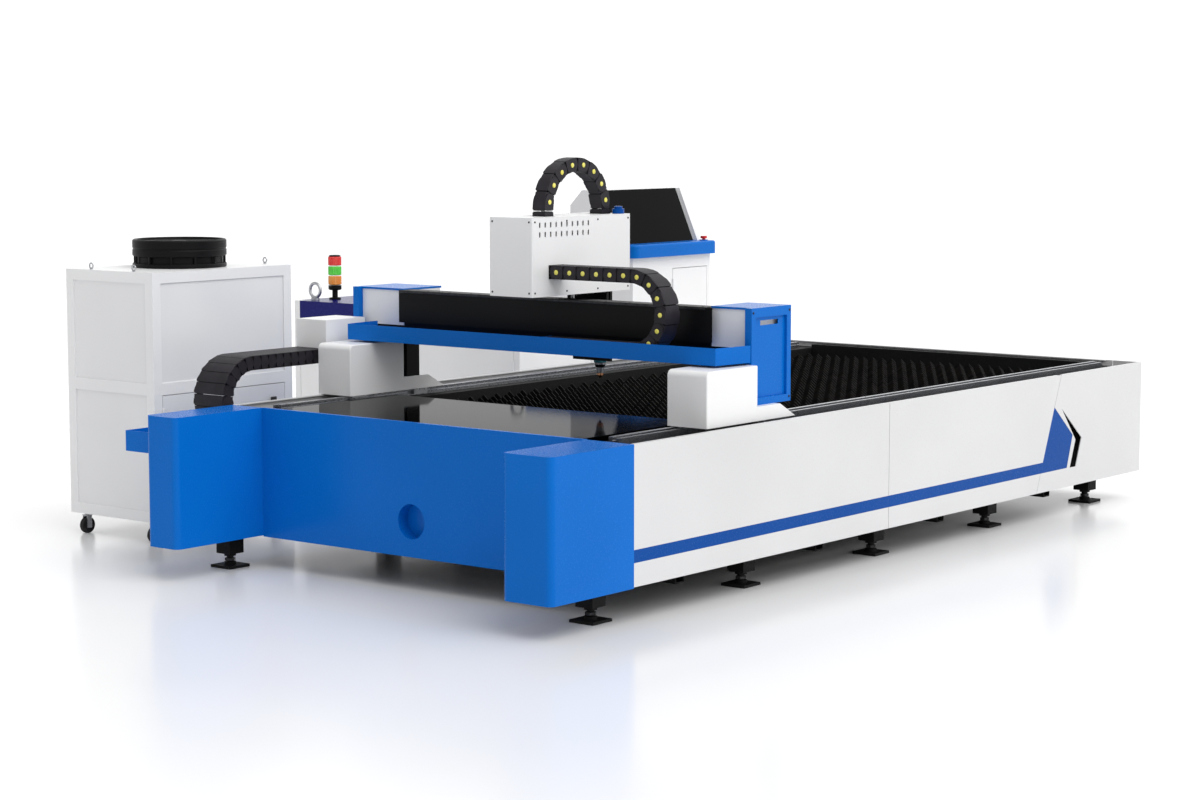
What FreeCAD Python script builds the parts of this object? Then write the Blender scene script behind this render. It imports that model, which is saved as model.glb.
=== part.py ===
import FreeCAD, Part
import math
import os

from FreeCAD import Placement, Rotation, Vector

# Fiber laser cutting machine: cutting bed with travelling gantry, carriage and Z head,
# three drag chains, a chiller, a laser cabinet and an operator console.
# All sizes are millimetres. X runs across the bed, Y along it towards the rear, Z up.
# Until save(), X = 0 is the bed's left face, Y = 0 the front of the corner boxes, Z = 0 the floor.

# ---------------------------------------------------------------- bed
BED_WIDTH = 2229.0
BED_LENGTH = 4800.0
BED_TOP = 705.0
PANEL_BOTTOM = 143.0
PANEL_T = 4.0
FLANGE = 15.0
MACHINE_AXIS = 1085.0        # X of the gantry's middle
CORNER_BOX_DEPTH = 505.0
LEFT_BOX_WIDTH = 186.0
RIGHT_BOX_WIDTH = 244.0
CORNER_RADIUS = 28.0
SHEET = 3.0

SIDE_BEAM_OFFSET = 845.0     # machine axis to the inner face of each side beam
SIDE_BEAM_WIDTH = 200.0
SIDE_BEAM_TOP = 675.0
SIDE_BEAM_WALL = 10.0
CROSS_TUBE = 60.0
CROSS_TUBE_TOP = 148.0
END_TUBE_DEPTH = 70.0
END_TUBE_BOTTOM = 420.0      # clear of the round port's cup

FOOT_OFFSET_RIGHT = 988.0    # machine axis to each row of feet
FOOT_OFFSET_LEFT = 1035.0
FOOT_FIRST_Y = 433.0
FOOT_PITCH = 1018.0
FOOT_COUNT = 5
FOOT_PLATE = 120.0
FOOT_BLOCK = 84.0

STRIPE_BOTTOM = 238.0
STRIPE_TOP = 290.0
STRIPE_RECESS = 2.5
STRIPE_T = 1.5
PANEL_SEAM_Y = 2364.0
SEAM_GAP = 3.0
SLANT_TOP_Y = 3942.0         # slanted seam at the panel's top edge
SLANT_FOOT_Y = 3746.0        # slanted seam at the stripe
PORT_X = 1061.0
PORT_Z = 288.0
PORT_R = 74.0
PORT_DEPTH = 60.0

RAIL_OFFSET = 925.0          # machine axis to each guide rail's middle
RAIL_WIDTH = 20.0
RAIL_HEIGHT = 30.0
RAIL_FRONT_Y = 640.0
RAIL_END_GAP = 100.0
RACK_OFFSET = 953.0          # machine axis to the rack's plain back
RACK_BODY = 13.0
RACK_HEIGHT = 26.0
GEAR_MODULE = 3.0
PINION_TEETH = 16
GEAR_PLAY = 0.5
PRESSURE_ANGLE = math.radians(20.0)

SLAT_TOP = 655.0
SLAT_HEIGHT = 95.0
SLAT_T = 4.0
SLAT_FIRST_Y = 1370.0
SLAT_PITCH = 95.0
SLAT_COUNT = 35
SLAT_TOOTH = 60.0
SLAT_TOOTH_H = 22.0
COMB_T = 8.0
COMB_DROP = 40.0
SLOT_PLAY = 1.0
DECK_TOP = 698.0
DECK_T = 4.0
DECK_REAR_Y = 1310.0
BIN_COUNT = 3
BIN_HEIGHT = 150.0

# ---------------------------------------------------------------- gantry
FOOT_COVER_INNER = 892.0     # machine axis to the foot cover's inner face
FOOT_COVER_OUTER = 1095.0
FOOT_COVER_FRONT = 1055.0
FOOT_COVER_TOP = 940.0
FOOT_COVER_GAP = 3.0         # guide rail's top to the foot cover's lower edge
FOOT_STEP_Y = 1410.0
FOOT_STEP_Z = 768.0
FOOT_SLANT_Y = 1578.0
FOOT_REAR_Y = 1690.0
FOOT_ROUND = 25.0
FOOT_PLATE_Z = 727.0
FOOT_PLATE_T = 15.0
FOOT_PLATE_REAR = 1604.0
POST_DEPTH = 84.0
BLOCK_WIDTH = 50.0
BLOCK_LENGTH = 90.0
BLOCK_FRONT_Y = (1075.0, 1490.0)
RUN_CLEARANCE = 0.3

BEAM_LEFT = -85.0
BEAM_RIGHT = 2110.0
BEAM_FRONT = 1443.0
BEAM_REAR = 1600.0
BEAM_BOTTOM = 950.0
BEAM_TOP = 1135.0
BEAM_WALL = 10.0
COVER_LEFT = 175.0
COVER_RIGHT = 1953.0
COVER_FRONT = 1400.0
COVER_BOTTOM = 1022.0
COVER_TOP = 1170.0
COVER_TOP_RIGHT = 1920.0
COVER_TOP_REAR = 1497.0
END_BOX_FRONT = 1440.0
END_BOX_REAR = 1690.0
END_BOX_BOTTOM = 1005.0
END_BOX_TOP = 1166.0
LEFT_END_BOX = (-90.0, 170.0)
RIGHT_END_BOX = (1924.0, 2115.0)
CAP_T = 34.0
CAP_FRONT = 1410.0
CAP_REAR = 1700.0
CAP_BOTTOM = 768.0
CAP_TOP = 1175.0
CAP_BORDER = 30.0
CAP_RECESS = 12.0

SHELF_FRONT = 1195.0
SHELF_LEFT = 45.0
SHELF_RIGHT = 2120.0
SHELF_BACK_LEFT = 30.0
SHELF_BACK_RIGHT = 2146.0
SHELF_TOP = 1022.0
MOTOR = 60.0
MOTOR_HEIGHT = 190.0
SHAFT_R = 8.0
SHAFT_HOLE_R = 9.0
GEAR_WIDTH = 22.0

# ---------------------------------------------------------------- carriage and Z head
HEAD_LEFT = 971.0
HEAD_RIGHT = 1213.0
HEAD_FRONT = 1115.0
HEAD_REAR = 1800.0
HEAD_BOTTOM = 1195.0
HEAD_TOP = 1535.0
HEAD_ROUND = 6.0
VENT_COUNT = 10
VENT_FIRST_Y = 1166.0
VENT_PITCH = 37.0
VENT_ROWS_Z = (1503.0, 1462.0)
VENT_WIDTH = 10.0
VENT_LENGTH = 24.0
SADDLE_T = 12.0
BEAM_RAIL = 15.0
BEAM_RAIL_DEPTH = 20.0
BEAM_RAIL_Z = (985.0, 1100.0)
BEAM_RAIL_LEFT = 190.0
BEAM_RAIL_RIGHT = 1900.0
BEAM_RACK_Y = 1500.0
BEAM_RACK_H = 25.0
CARRIAGE_PLATE_T = 15.0
CARRIAGE_GAP = 40.0          # beam's rear face to the carriage plate
CARRIAGE_LOW = 965.0
CARRIAGE_HIGH = 1450.0
Z_RAIL_OFFSET = 75.0
Z_RAIL_WIDTH = 15.0
Z_RAIL_DEPTH = 12.0
Z_PLATE_GAP = 18.0
Z_PLATE_T = 14.0
Z_PLATE_LOW = 880.0
Z_PLATE_HIGH = 1400.0
NOZZLE_Y = 1735.0
NOZZLE_TIP = 795.0
HEAD_BODY_R = 35.0

# ---------------------------------------------------------------- drag chains
CHAIN_WALL = 5.0
BED_CHAIN_X = -145.0
BED_CHAIN_WIDTH = 190.0
BED_CHAIN_T = 65.0
BED_CHAIN_LOW = 555.5        # middle of the lower run
BED_CHAIN_HIGH = 872.5       # middle of the upper run
BED_CHAIN_BEND_Y = 690.0
BED_CHAIN_FIXED_Y = 2150.0
BED_CHAIN_END_Y = 1300.0
TRAY_LEFT = -262.0
TRAY_RIGHT = -28.0
TRAY_FRONT = 120.0
TRAY_REAR = 2620.0
TRAY_TOP = 610.0
CARRIER_LEFT = -240.0
CARRIER_RIGHT = -50.0
CARRIER_FRONT = 1150.0
CARRIER_TOP = 1035.0

GANTRY_CHAIN_Y = 1275.0
GANTRY_CHAIN_WIDTH = 100.0
GANTRY_CHAIN_T = 60.0
GANTRY_CHAIN_LOW = 985.0
GANTRY_CHAIN_HIGH = 1300.0
GANTRY_CHAIN_BEND_X = 1655.0
GANTRY_CHAIN_FIXED_X = 1150.0
GANTRY_CHAIN_TAB = 5.0

Z_CHAIN_X = 1105.0
Z_CHAIN_WIDTH = 70.0
Z_CHAIN_T = 60.0
Z_CHAIN_FRONT = 1318.0
Z_CHAIN_REAR = 1718.0
Z_CHAIN_BEND_Z = 1557.0
Z_CHAIN_FIXED_Z = 1350.0
SLOT_MARGIN = 12.0

# ---------------------------------------------------------------- chiller
CHILLER_LEFT = -1226.0
CHILLER_RIGHT = -631.0
CHILLER_FRONT = 620.0
CHILLER_REAR = 1508.0
CHILLER_BOTTOM = 100.0
CHILLER_TOP = 1255.0
CHILLER_POST = 50.0
CHILLER_MID = 690.0
CHILLER_MID_H = 55.0
CHILLER_INSET = 6.0
DOOR_GAP = 3.0
FAN_R = 222.0
FAN_WALL_R = 205.0
FAN_TOP = 1395.0
FAN_BLADES = 5
WHEEL_R = 38.0
WHEEL_WIDTH = 24.0
WHEEL_BORE_R = 6.0
CASTER_INSET = 62.0
CASTER_TRAIL = 18.0

# ---------------------------------------------------------------- cabinet and console
CABINET_LEFT = -2200.0
CABINET_RIGHT = -530.0
CABINET_FRONT = 3100.0
CABINET_REAR = 3700.0
CABINET_PLINTH = 60.0
CABINET_BAND = 737.0
CABINET_TOP = 924.0
CABINET_POST = 40.0
TOWER_X = -2075.0
TOWER_Y = 3300.0
TOWER_R = 38.0

CONSOLE_BACK = -1790.0
CONSOLE_FACE = -990.0
CONSOLE_NEAR = 4680.0
CONSOLE_FAR = 5450.0
CONSOLE_DESK = 1136.0
DESK_T = 78.0
DESK_EDGE = -950.0
DESK_NEAR = 4650.0
DESK_FAR = 5480.0
SCREEN_LOW_X = -1068.0
SCREEN_HIGH_X = -1206.0
HOOD_TOP = 1529.0
HOOD_BACK = -1440.0
SCREEN_NEAR = 4672.0
SCREEN_FAR = 5384.0
HOOD_FAR = 5440.0
CONSOLE_DOOR_NEAR = 5070.0
CONSOLE_DOOR_TOP = 1060.0
STOP_X = -1000.0
STOP_Y = 5400.0
STOP_R = 20.0
STOP_TRAVEL = 6.0

# ---------------------------------------------------------------- row frame
X_SHIFT = -(CABINET_LEFT + BED_WIDTH) / 2.0
Y_SHIFT = -DESK_FAR / 2.0

FOOT_COVER_BOTTOM = SIDE_BEAM_TOP + RAIL_HEIGHT + FOOT_COVER_GAP
PINION_R = GEAR_MODULE * PINION_TEETH / 2.0
RACK_PITCH_OFFSET = RACK_OFFSET + RACK_BODY + 1.25 * GEAR_MODULE
PINION_OFFSET = RACK_PITCH_OFFSET + PINION_R
PINION_Y = 1570.0
CARRIAGE_X = (HEAD_LEFT + HEAD_RIGHT) / 2.0
BEAM_PINION_Y = BEAM_RACK_Y + RACK_BODY + 1.25 * GEAR_MODULE + PINION_R
FRONT_PLANE = CORNER_BOX_DEPTH
PLATE_Y = BEAM_REAR + CARRIAGE_GAP
FAN_X = (CHILLER_LEFT + CHILLER_RIGHT) / 2.0
FAN_Y = (CHILLER_FRONT + CHILLER_REAR) / 2.0


# ---------------------------------------------------------------- shape helpers
def box(x0, x1, y0, y1, z0, z1):
    return Part.makeBox(x1 - x0, y1 - y0, z1 - z0, Vector(x0, y0, z0))


def cylinder(centre, radius, height, axis=(0, 0, 1)):
    return Part.makeCylinder(radius, height, Vector(*centre), Vector(*axis))


def extruded(points, direction):
    face = Part.Face(Part.makePolygon(points + points[:1]))
    return face.extrude(direction)


def prism_x(points, x0, x1):
    return extruded([Vector(x0, y, z) for y, z in points], Vector(x1 - x0, 0, 0))


def prism_y(points, y0, y1):
    return extruded([Vector(x, y0, z) for x, z in points], Vector(0, y1 - y0, 0))


def prism_z(points, z0, z1):
    return extruded([Vector(x, y, z0) for x, y in points], Vector(0, 0, z1 - z0))


def fuse(shapes):
    return shapes[0].multiFuse(shapes[1:]).removeSplitter()


def edges_at(shape, axis, points):
    """Edges parallel to an axis whose middle passes through one of the given points
    (each a pair in the two other axes)."""
    others = [i for i in range(3) if i != axis]
    found = []
    for edge in shape.Edges:
        a, b = edge.Vertexes[0].Point, edge.Vertexes[-1].Point
        along = abs(a[axis] - b[axis])
        if along < 1.0 or any(abs(a[i] - b[i]) > 0.01 for i in others):
            continue
        if any(all(abs(a[i] - p) < 0.01 for i, p in zip(others, pair)) for pair in points):
            found.append(edge)
    return found


def rounded(shape, radius, axis, points):
    return shape.makeFillet(radius, edges_at(shape, axis, points))


def tube_x(x0, x1, y0, y1, z0, z1, wall):
    return box(x0, x1, y0, y1, z0, z1).cut(
        box(x0 - 1, x1 + 1, y0 + wall, y1 - wall, z0 + wall, z1 - wall))


def tube_y(x0, x1, y0, y1, z0, z1, wall):
    return box(x0, x1, y0, y1, z0, z1).cut(
        box(x0 + wall, x1 - wall, y0 - 1, y1 + 1, z0 + wall, z1 - wall))


def rounded_box(x0, x1, y0, y1, z0, z1, radius, corners):
    """Box with upright edges rounded at the named corners: pairs such as (x0, y0)."""
    return rounded(box(x0, x1, y0, y1, z0, z1), radius, 2, corners)


def tray(x0, x1, y0, y1, z0, z1, wall):
    """Open-topped sheet bin."""
    return box(x0, x1, y0, y1, z0, z1).cut(
        box(x0 + wall, x1 - wall, y0 + wall, y1 - wall, z0 + wall, z1 + 1))


def hood(x0, x1, y0, y1, z0, z1, wall):
    """Sheet cover open at the bottom."""
    return box(x0, x1, y0, y1, z0, z1).cut(
        box(x0 + wall, x1 - wall, y0 + wall, y1 - wall, z0 - 1, z1 - wall))


def mirrored(shape):
    """Mirror across the machine axis."""
    return shape.mirror(Vector(MACHINE_AXIS, 0, 0), Vector(1, 0, 0))


def both_sides(shape):
    return [shape, mirrored(shape)]


def save(node, solids):
    shape = solids[0] if len(solids) == 1 else Part.makeCompound(solids)
    moved = shape.copy()
    moved.translate(Vector(X_SHIFT, Y_SHIFT, 0))
    moved.exportStep(f"parts/{node}.step")


# ---------------------------------------------------------------- gears
def rack_profile(length_from, length_to, phase, back, root):
    """Outline of a rack in its own plane: u runs along the rack, v from its plain back at
    `back` to the tooth roots at `root`. A tooth space is centred where u equals `phase`."""
    pitch = math.pi * GEAR_MODULE
    slope = math.tan(PRESSURE_ANGLE)
    half_tip = pitch / 4.0 - GEAR_MODULE * slope - GEAR_PLAY / 2.0
    half_root = pitch / 4.0 + 1.25 * GEAR_MODULE * slope - GEAR_PLAY / 2.0
    tip = root + 2.25 * GEAR_MODULE
    points = [(length_from, back), (length_from, root)]
    first = math.ceil((length_from + half_root - phase - pitch / 2.0) / pitch)
    last = math.floor((length_to - half_root - phase - pitch / 2.0) / pitch)
    for i in range(first, last + 1):
        u = phase + pitch / 2.0 + i * pitch
        points += [(u - half_root, root), (u - half_tip, tip)]
        points += [(u + half_tip, tip), (u + half_root, root)]
    points += [(length_to, root), (length_to, back)]
    return points


def pinion_profile(towards):
    """Involute outline of the pinion about its own centre, with a tooth pointing along
    the angle `towards`."""
    base = PINION_R * math.cos(PRESSURE_ANGLE)
    outer = PINION_R + GEAR_MODULE
    root = PINION_R - 1.25 * GEAR_MODULE
    half_at_pitch = math.pi / (2.0 * PINION_TEETH)
    roll_at_pitch = math.tan(PRESSURE_ANGLE) - PRESSURE_ANGLE
    steps = 4
    points = []
    for tooth in range(PINION_TEETH):
        middle = towards + tooth * 2.0 * math.pi / PINION_TEETH
        flank = []
        for i in range(steps + 1):
            radius = base + (outer - base) * i / steps
            angle = math.acos(min(1.0, base / radius))
            half = half_at_pitch + roll_at_pitch - (math.tan(angle) - angle)
            flank.append((radius, half))
        flank.insert(0, (min(root, base), flank[0][1]))
        points += [(r * math.cos(middle - h), r * math.sin(middle - h)) for r, h in flank]
        points += [(r * math.cos(middle + h), r * math.sin(middle + h)) for r, h in reversed(flank)]
    return points


def pinion(x, y, towards, z0, z1, shaft_top):
    outline = [(x + u, y + v) for u, v in pinion_profile(towards)]
    wheel = prism_z(outline, z0, z1)
    shaft = cylinder((x, y, z1 - 1), SHAFT_R, shaft_top - z1 + 1)
    return wheel.fuse(shaft).removeSplitter()


# ---------------------------------------------------------------- drag chains
def drag_chain(name, centre, run, across, radius, width, thickness, fixed_length, moving_length):
    """Three stretches of one chain: the fixed run, the half-round bend and the moving run.
    `run` points from the bend along both runs, `across` from the fixed run to the moving one."""
    inner = thickness / 2.0 - CHAIN_WALL
    p, q = Vector(*run), Vector(*across)
    placement = Placement(Vector(*centre), Rotation(p, q, p.cross(q), "XYZ"))

    def stretch(length, offset):
        low, high = offset - thickness / 2.0, offset + thickness / 2.0
        shape = box(0, length, low, high, -width / 2.0, width / 2.0)
        hole = box(-1, length + 1, offset - inner, offset + inner,
                   -width / 2.0 + CHAIN_WALL, width / 2.0 - CHAIN_WALL)
        return shape.cut(hole)

    def half_ring(r_out, r_in, half_width):
        base = Vector(0, 0, -half_width)
        ring = Part.makeCylinder(r_out, 2 * half_width, base).cut(
            Part.makeCylinder(r_in, 2 * half_width, base))
        return ring.cut(box(0, r_out + 1, -r_out - 1, r_out + 1, -half_width - 1, half_width + 1))

    bend = half_ring(radius + thickness / 2.0, radius - thickness / 2.0, width / 2.0)
    bend = bend.cut(half_ring(radius + inner, radius - inner, width / 2.0 - CHAIN_WALL))
    for node, shape in ((f"{name}_fixed_run", stretch(fixed_length, -radius)),
                        (f"{name}_bend", bend),
                        (f"{name}_moving_run", stretch(moving_length, radius))):
        shape.Placement = placement.multiply(shape.Placement)
        save(node, [shape])


# ---------------------------------------------------------------- hinged doors
BARREL_R = 5.0
BARREL_LENGTH = 60.0
LEAF_T = 4.0


def door_leaf(width, z0, z1, left_hinged=True):
    """Door in a local frame: hinge barrels on the Z axis, outside face 5.3 mm behind it
    (+Y), leaf running to +X; mirrored when hinged on the right."""
    face = BARREL_R + RUN_CLEARANCE
    leaf = box(DOOR_GAP, width - DOOR_GAP, face, face + LEAF_T, z0, z1)
    shapes = [leaf]
    for z in (z0 + 60.0, z1 - 60.0 - BARREL_LENGTH):
        shapes.append(cylinder((0, 0, z), BARREL_R, BARREL_LENGTH))
        shapes.append(box(0, 22.0, face - 4.0, face, z, z + BARREL_LENGTH))
    middle = (z0 + z1) / 2.0
    latch_x = width - DOOR_GAP - 30.0
    shapes.append(box(latch_x - 12.0, latch_x + 12.0, face - 8.0, face, middle - 30.0, middle + 30.0))
    door = fuse(shapes)
    return door if left_hinged else door.mirror(Vector(0, 0, 0), Vector(1, 0, 0))


def place_door(leaf, x, y, turn):
    leaf.Placement = Placement(Vector(x, y, 0), Rotation(Vector(0, 0, 1), turn))
    return leaf


# ---------------------------------------------------------------- bed
def bed_frame():
    inner = MACHINE_AXIS + SIDE_BEAM_OFFSET
    front, rear = FRONT_PLANE + PANEL_T, BED_LENGTH - PANEL_T
    side = tube_y(inner, inner + SIDE_BEAM_WIDTH, front, rear,
                  PANEL_BOTTOM, SIDE_BEAM_TOP, SIDE_BEAM_WALL)
    solids = both_sides(side)
    left_inner = 2 * MACHINE_AXIS - inner

    for y in (front, rear - END_TUBE_DEPTH):
        solids.append(tube_x(left_inner, inner, y, y + END_TUBE_DEPTH,
                             END_TUBE_BOTTOM, DECK_TOP - DECK_T, 6.0))
    for x in (MACHINE_AXIS - FOOT_OFFSET_LEFT, MACHINE_AXIS + FOOT_OFFSET_RIGHT):
        half = FOOT_BLOCK / 2.0
        solids.append(box(x - half, x + half, FOOT_FIRST_Y - half - 10.0, front,
                          PANEL_BOTTOM, PANEL_BOTTOM + CROSS_TUBE))
    deck_tube_y = DECK_REAR_Y - END_TUBE_DEPTH
    solids.append(tube_x(left_inner, inner, deck_tube_y, DECK_REAR_Y,
                         DECK_TOP - DECK_T - END_TUBE_DEPTH, DECK_TOP - DECK_T, 6.0))

    bottom = CROSS_TUBE_TOP - CROSS_TUBE
    for i in range(FOOT_COUNT - 1):
        y = FOOT_FIRST_Y + (i + 0.5) * FOOT_PITCH
        solids.append(tube_x(2 * MACHINE_AXIS - inner - SIDE_BEAM_WIDTH, inner + SIDE_BEAM_WIDTH,
                             y - CROSS_TUBE / 2.0, y + CROSS_TUBE / 2.0, bottom, PANEL_BOTTOM, 5.0))

    comb_top = SLAT_TOP - SLAT_TOOTH_H - 12.0
    comb_low = SLAT_TOP - SLAT_HEIGHT - COMB_DROP
    last = SLAT_FIRST_Y + (SLAT_COUNT - 1) * SLAT_PITCH
    comb = box(inner - COMB_T, inner, SLAT_FIRST_Y - 40.0, last + 40.0, comb_low, comb_top)
    slots = [box(inner - COMB_T - 1, inner + 1, slat_y(i) - SLAT_T / 2.0 - SLOT_PLAY,
                 slat_y(i) + SLAT_T / 2.0 + SLOT_PLAY, SLAT_TOP - SLAT_HEIGHT, comb_top + 1)
             for i in range(SLAT_COUNT)]
    solids += both_sides(comb.cut(Part.makeCompound(slots)))

    outrigger_count = 5
    span = (rear - front - 300.0) / (outrigger_count - 1)
    for i in range(outrigger_count):
        y = front + 150.0 + i * span
        for z in (STRIPE_BOTTOM - 70.0, BED_TOP - 100.0):
            solids.append(tube_x(inner + SIDE_BEAM_WIDTH, BED_WIDTH - PANEL_T, y - 20.0, y + 20.0,
                                 z, z + 40.0, 3.0))
            solids.append(tube_x(PANEL_T, 2 * MACHINE_AXIS - inner - SIDE_BEAM_WIDTH, y - 20.0, y + 20.0,
                                 z, z + 40.0, 3.0))
    save("bed_frame", solids)


def slat_y(i):
    return SLAT_FIRST_Y + i * SLAT_PITCH


def levelling_feet():
    solids = []
    half, block = FOOT_PLATE / 2.0, FOOT_BLOCK / 2.0
    for x in (MACHINE_AXIS - FOOT_OFFSET_LEFT, MACHINE_AXIS + FOOT_OFFSET_RIGHT):
        for i in range(FOOT_COUNT):
            y = FOOT_FIRST_Y + i * FOOT_PITCH
            solids.append(fuse([
                box(x - half, x + half, y - half, y + half, 0, 12.0),
                cylinder((x, y, 12.0), 15.0, 50.0),
                cylinder((x, y, 12.0), 26.0, 12.0),
                cylinder((x, y, 50.0), 26.0, 12.0),
                box(x - block, x + block, y - block, y + block, 62.0, PANEL_BOTTOM)]))
    save("levelling_feet", solids)


def front_panel():
    x0, x1 = LEFT_BOX_WIDTH, BED_WIDTH - RIGHT_BOX_WIDTH
    y = FRONT_PLANE
    sheet = box(x0, x1, y, y + PANEL_T, PANEL_BOTTOM - 5.0, BED_TOP)
    flange = box(x0, x1, y, y + PANEL_T + FLANGE, BED_TOP - PANEL_T, BED_TOP)
    hole = cylinder((PORT_X, y - 1, PORT_Z), PORT_R, PORT_DEPTH, (0, 1, 0))
    cup = cylinder((PORT_X, y, PORT_Z), PORT_R + SHEET, PORT_DEPTH + SHEET - 1, (0, 1, 0))
    save("front_panel", [fuse([sheet, flange, cup]).cut(hole)])


def corner_box(x0, x1, bottom, corners):
    """Shell open below and behind, with rounded upright front edges."""
    depth, t = CORNER_BOX_DEPTH + PANEL_T, PANEL_T
    outer = rounded_box(x0, x1, 0, depth, bottom, BED_TOP, CORNER_RADIUS, [(x, 0) for x in corners])
    inner_corners = [(min(max(x, x0 + t), x1 - t), t) for x in corners]
    return outer.cut(rounded_box(x0 + t, x1 - t, t, depth + 1, bottom - 1, BED_TOP - t,
                                 CORNER_RADIUS - t, inner_corners))


def corner_boxes():
    x0 = BED_WIDTH - RIGHT_BOX_WIDTH
    save("left_corner_box", [corner_box(0, LEFT_BOX_WIDTH, PANEL_BOTTOM, [0, LEFT_BOX_WIDTH])])
    save("right_corner_box", [corner_box(x0, BED_WIDTH, PANEL_BOTTOM - 5.0, [x0, BED_WIDTH])])


def slant_y(z, shift=0.0):
    """Y of the slanted seam at a height."""
    slope = (SLANT_TOP_Y - SLANT_FOOT_Y) / (BED_TOP - (STRIPE_BOTTOM - 9.0))
    return SLANT_FOOT_Y + (z - (STRIPE_BOTTOM - 9.0)) * slope + shift


def emblem_points():
    """Blue four-sided inlay at the stripe's rear end."""
    high = BED_TOP - 153.0
    return [(slant_y(STRIPE_BOTTOM), STRIPE_BOTTOM), (slant_y(high), high),
            (slant_y(high) + 192.0, high - 154.0), (slant_y(STRIPE_BOTTOM) + 267.0, STRIPE_BOTTOM)]


def chevron_points():
    """Bent slot beside the inlay, cut through the rear corner panel."""
    return [(3952.0, 540.0), (4164.0, 376.0), (4108.0, 236.0),
            (4046.0, 236.0), (4100.0, 372.0)]


def bed_panels():
    x0, x1 = BED_WIDTH - PANEL_T, BED_WIDTH
    start = CORNER_BOX_DEPTH + PANEL_T
    stripe_cut = BED_WIDTH - STRIPE_RECESS
    rear = BED_LENGTH

    def side(points, y_from, y_to):
        plate = prism_x(points, x0, x1)
        flange = box(x0 - FLANGE, x0, y_from, y_to, BED_TOP - PANEL_T, BED_TOP)
        return fuse([plate, flange])

    front = side([(start, PANEL_BOTTOM), (PANEL_SEAM_Y, PANEL_BOTTOM),
                  (PANEL_SEAM_Y, BED_TOP), (start, BED_TOP)], start, PANEL_SEAM_Y)
    middle_start = PANEL_SEAM_Y + SEAM_GAP
    middle = side([(middle_start, PANEL_BOTTOM), (slant_y(PANEL_BOTTOM), PANEL_BOTTOM),
                   (slant_y(BED_TOP), BED_TOP), (middle_start, BED_TOP)],
                  middle_start, slant_y(BED_TOP) - 20.0)
    corner = side([(slant_y(PANEL_BOTTOM, SEAM_GAP), PANEL_BOTTOM), (rear, PANEL_BOTTOM),
                   (rear, BED_TOP), (slant_y(BED_TOP, SEAM_GAP), BED_TOP)],
                  slant_y(BED_TOP, SEAM_GAP) + 20.0, rear)
    corner = fuse([corner, box(x1 - 160.0, x1, rear - PANEL_T, rear, PANEL_BOTTOM, BED_TOP)])

    stripe_band = [(start - 1, STRIPE_BOTTOM), (slant_y(STRIPE_BOTTOM) + 267.0, STRIPE_BOTTOM),
                   (slant_y(STRIPE_TOP) + 225.0, STRIPE_TOP), (start - 1, STRIPE_TOP)]
    grooves = fuse([prism_x(stripe_band, stripe_cut, x1 + 1), prism_x(emblem_points(), stripe_cut, x1 + 1)])
    slot = prism_x(chevron_points(), x0 - 1, x1 + 1)

    left = fuse([box(0, PANEL_T, start, rear - PANEL_T, PANEL_BOTTOM, BED_TOP),
                 box(PANEL_T, PANEL_T + FLANGE, start, rear - PANEL_T, BED_TOP - PANEL_T, BED_TOP)])
    back = fuse([box(0, x1 - 160.0 - SEAM_GAP, rear - PANEL_T, rear, PANEL_BOTTOM, BED_TOP),
                 box(PANEL_T + FLANGE, x1 - 200.0, rear - PANEL_T - FLANGE, rear - PANEL_T,
                     BED_TOP - PANEL_T, BED_TOP)])
    save("bed_panels", [front.cut(grooves), middle.cut(grooves), corner.cut(grooves).cut(slot), left, back])

    inlay_x = BED_WIDTH - STRIPE_RECESS
    tail_y = slant_y(STRIPE_TOP) + 225.0
    stripe = fuse([prism_x([(start, STRIPE_BOTTOM), (slant_y(STRIPE_BOTTOM) + 267.0, STRIPE_BOTTOM),
                            (tail_y, STRIPE_TOP), (start, STRIPE_TOP)], inlay_x, inlay_x + STRIPE_T),
                   prism_x(emblem_points(), inlay_x, inlay_x + STRIPE_T)])
    save("side_stripe", [stripe])


def rails_and_racks():
    rear = BED_LENGTH - RAIL_END_GAP
    x = MACHINE_AXIS + RAIL_OFFSET
    rail = box(x - RAIL_WIDTH / 2.0, x + RAIL_WIDTH / 2.0, RAIL_FRONT_Y, rear,
               SIDE_BEAM_TOP, SIDE_BEAM_TOP + RAIL_HEIGHT)
    groove_z = SIDE_BEAM_TOP + 0.55 * RAIL_HEIGHT
    for side in (-1, 1):
        edge = x + side * RAIL_WIDTH / 2.0
        rail = rail.cut(prism_y([(edge + side, groove_z - 4.0), (edge - side * 3.0, groove_z),
                                 (edge + side, groove_z + 4.0)], RAIL_FRONT_Y - 1, rear + 1))
    save("guide_rails", both_sides(rail))

    back = MACHINE_AXIS + RACK_OFFSET
    outline = rack_profile(RAIL_FRONT_Y, rear, PINION_Y, back, back + RACK_BODY)
    rack = prism_z([(v, u) for u, v in outline], SIDE_BEAM_TOP, SIDE_BEAM_TOP + RACK_HEIGHT)
    save("gear_racks", both_sides(rack))


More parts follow.
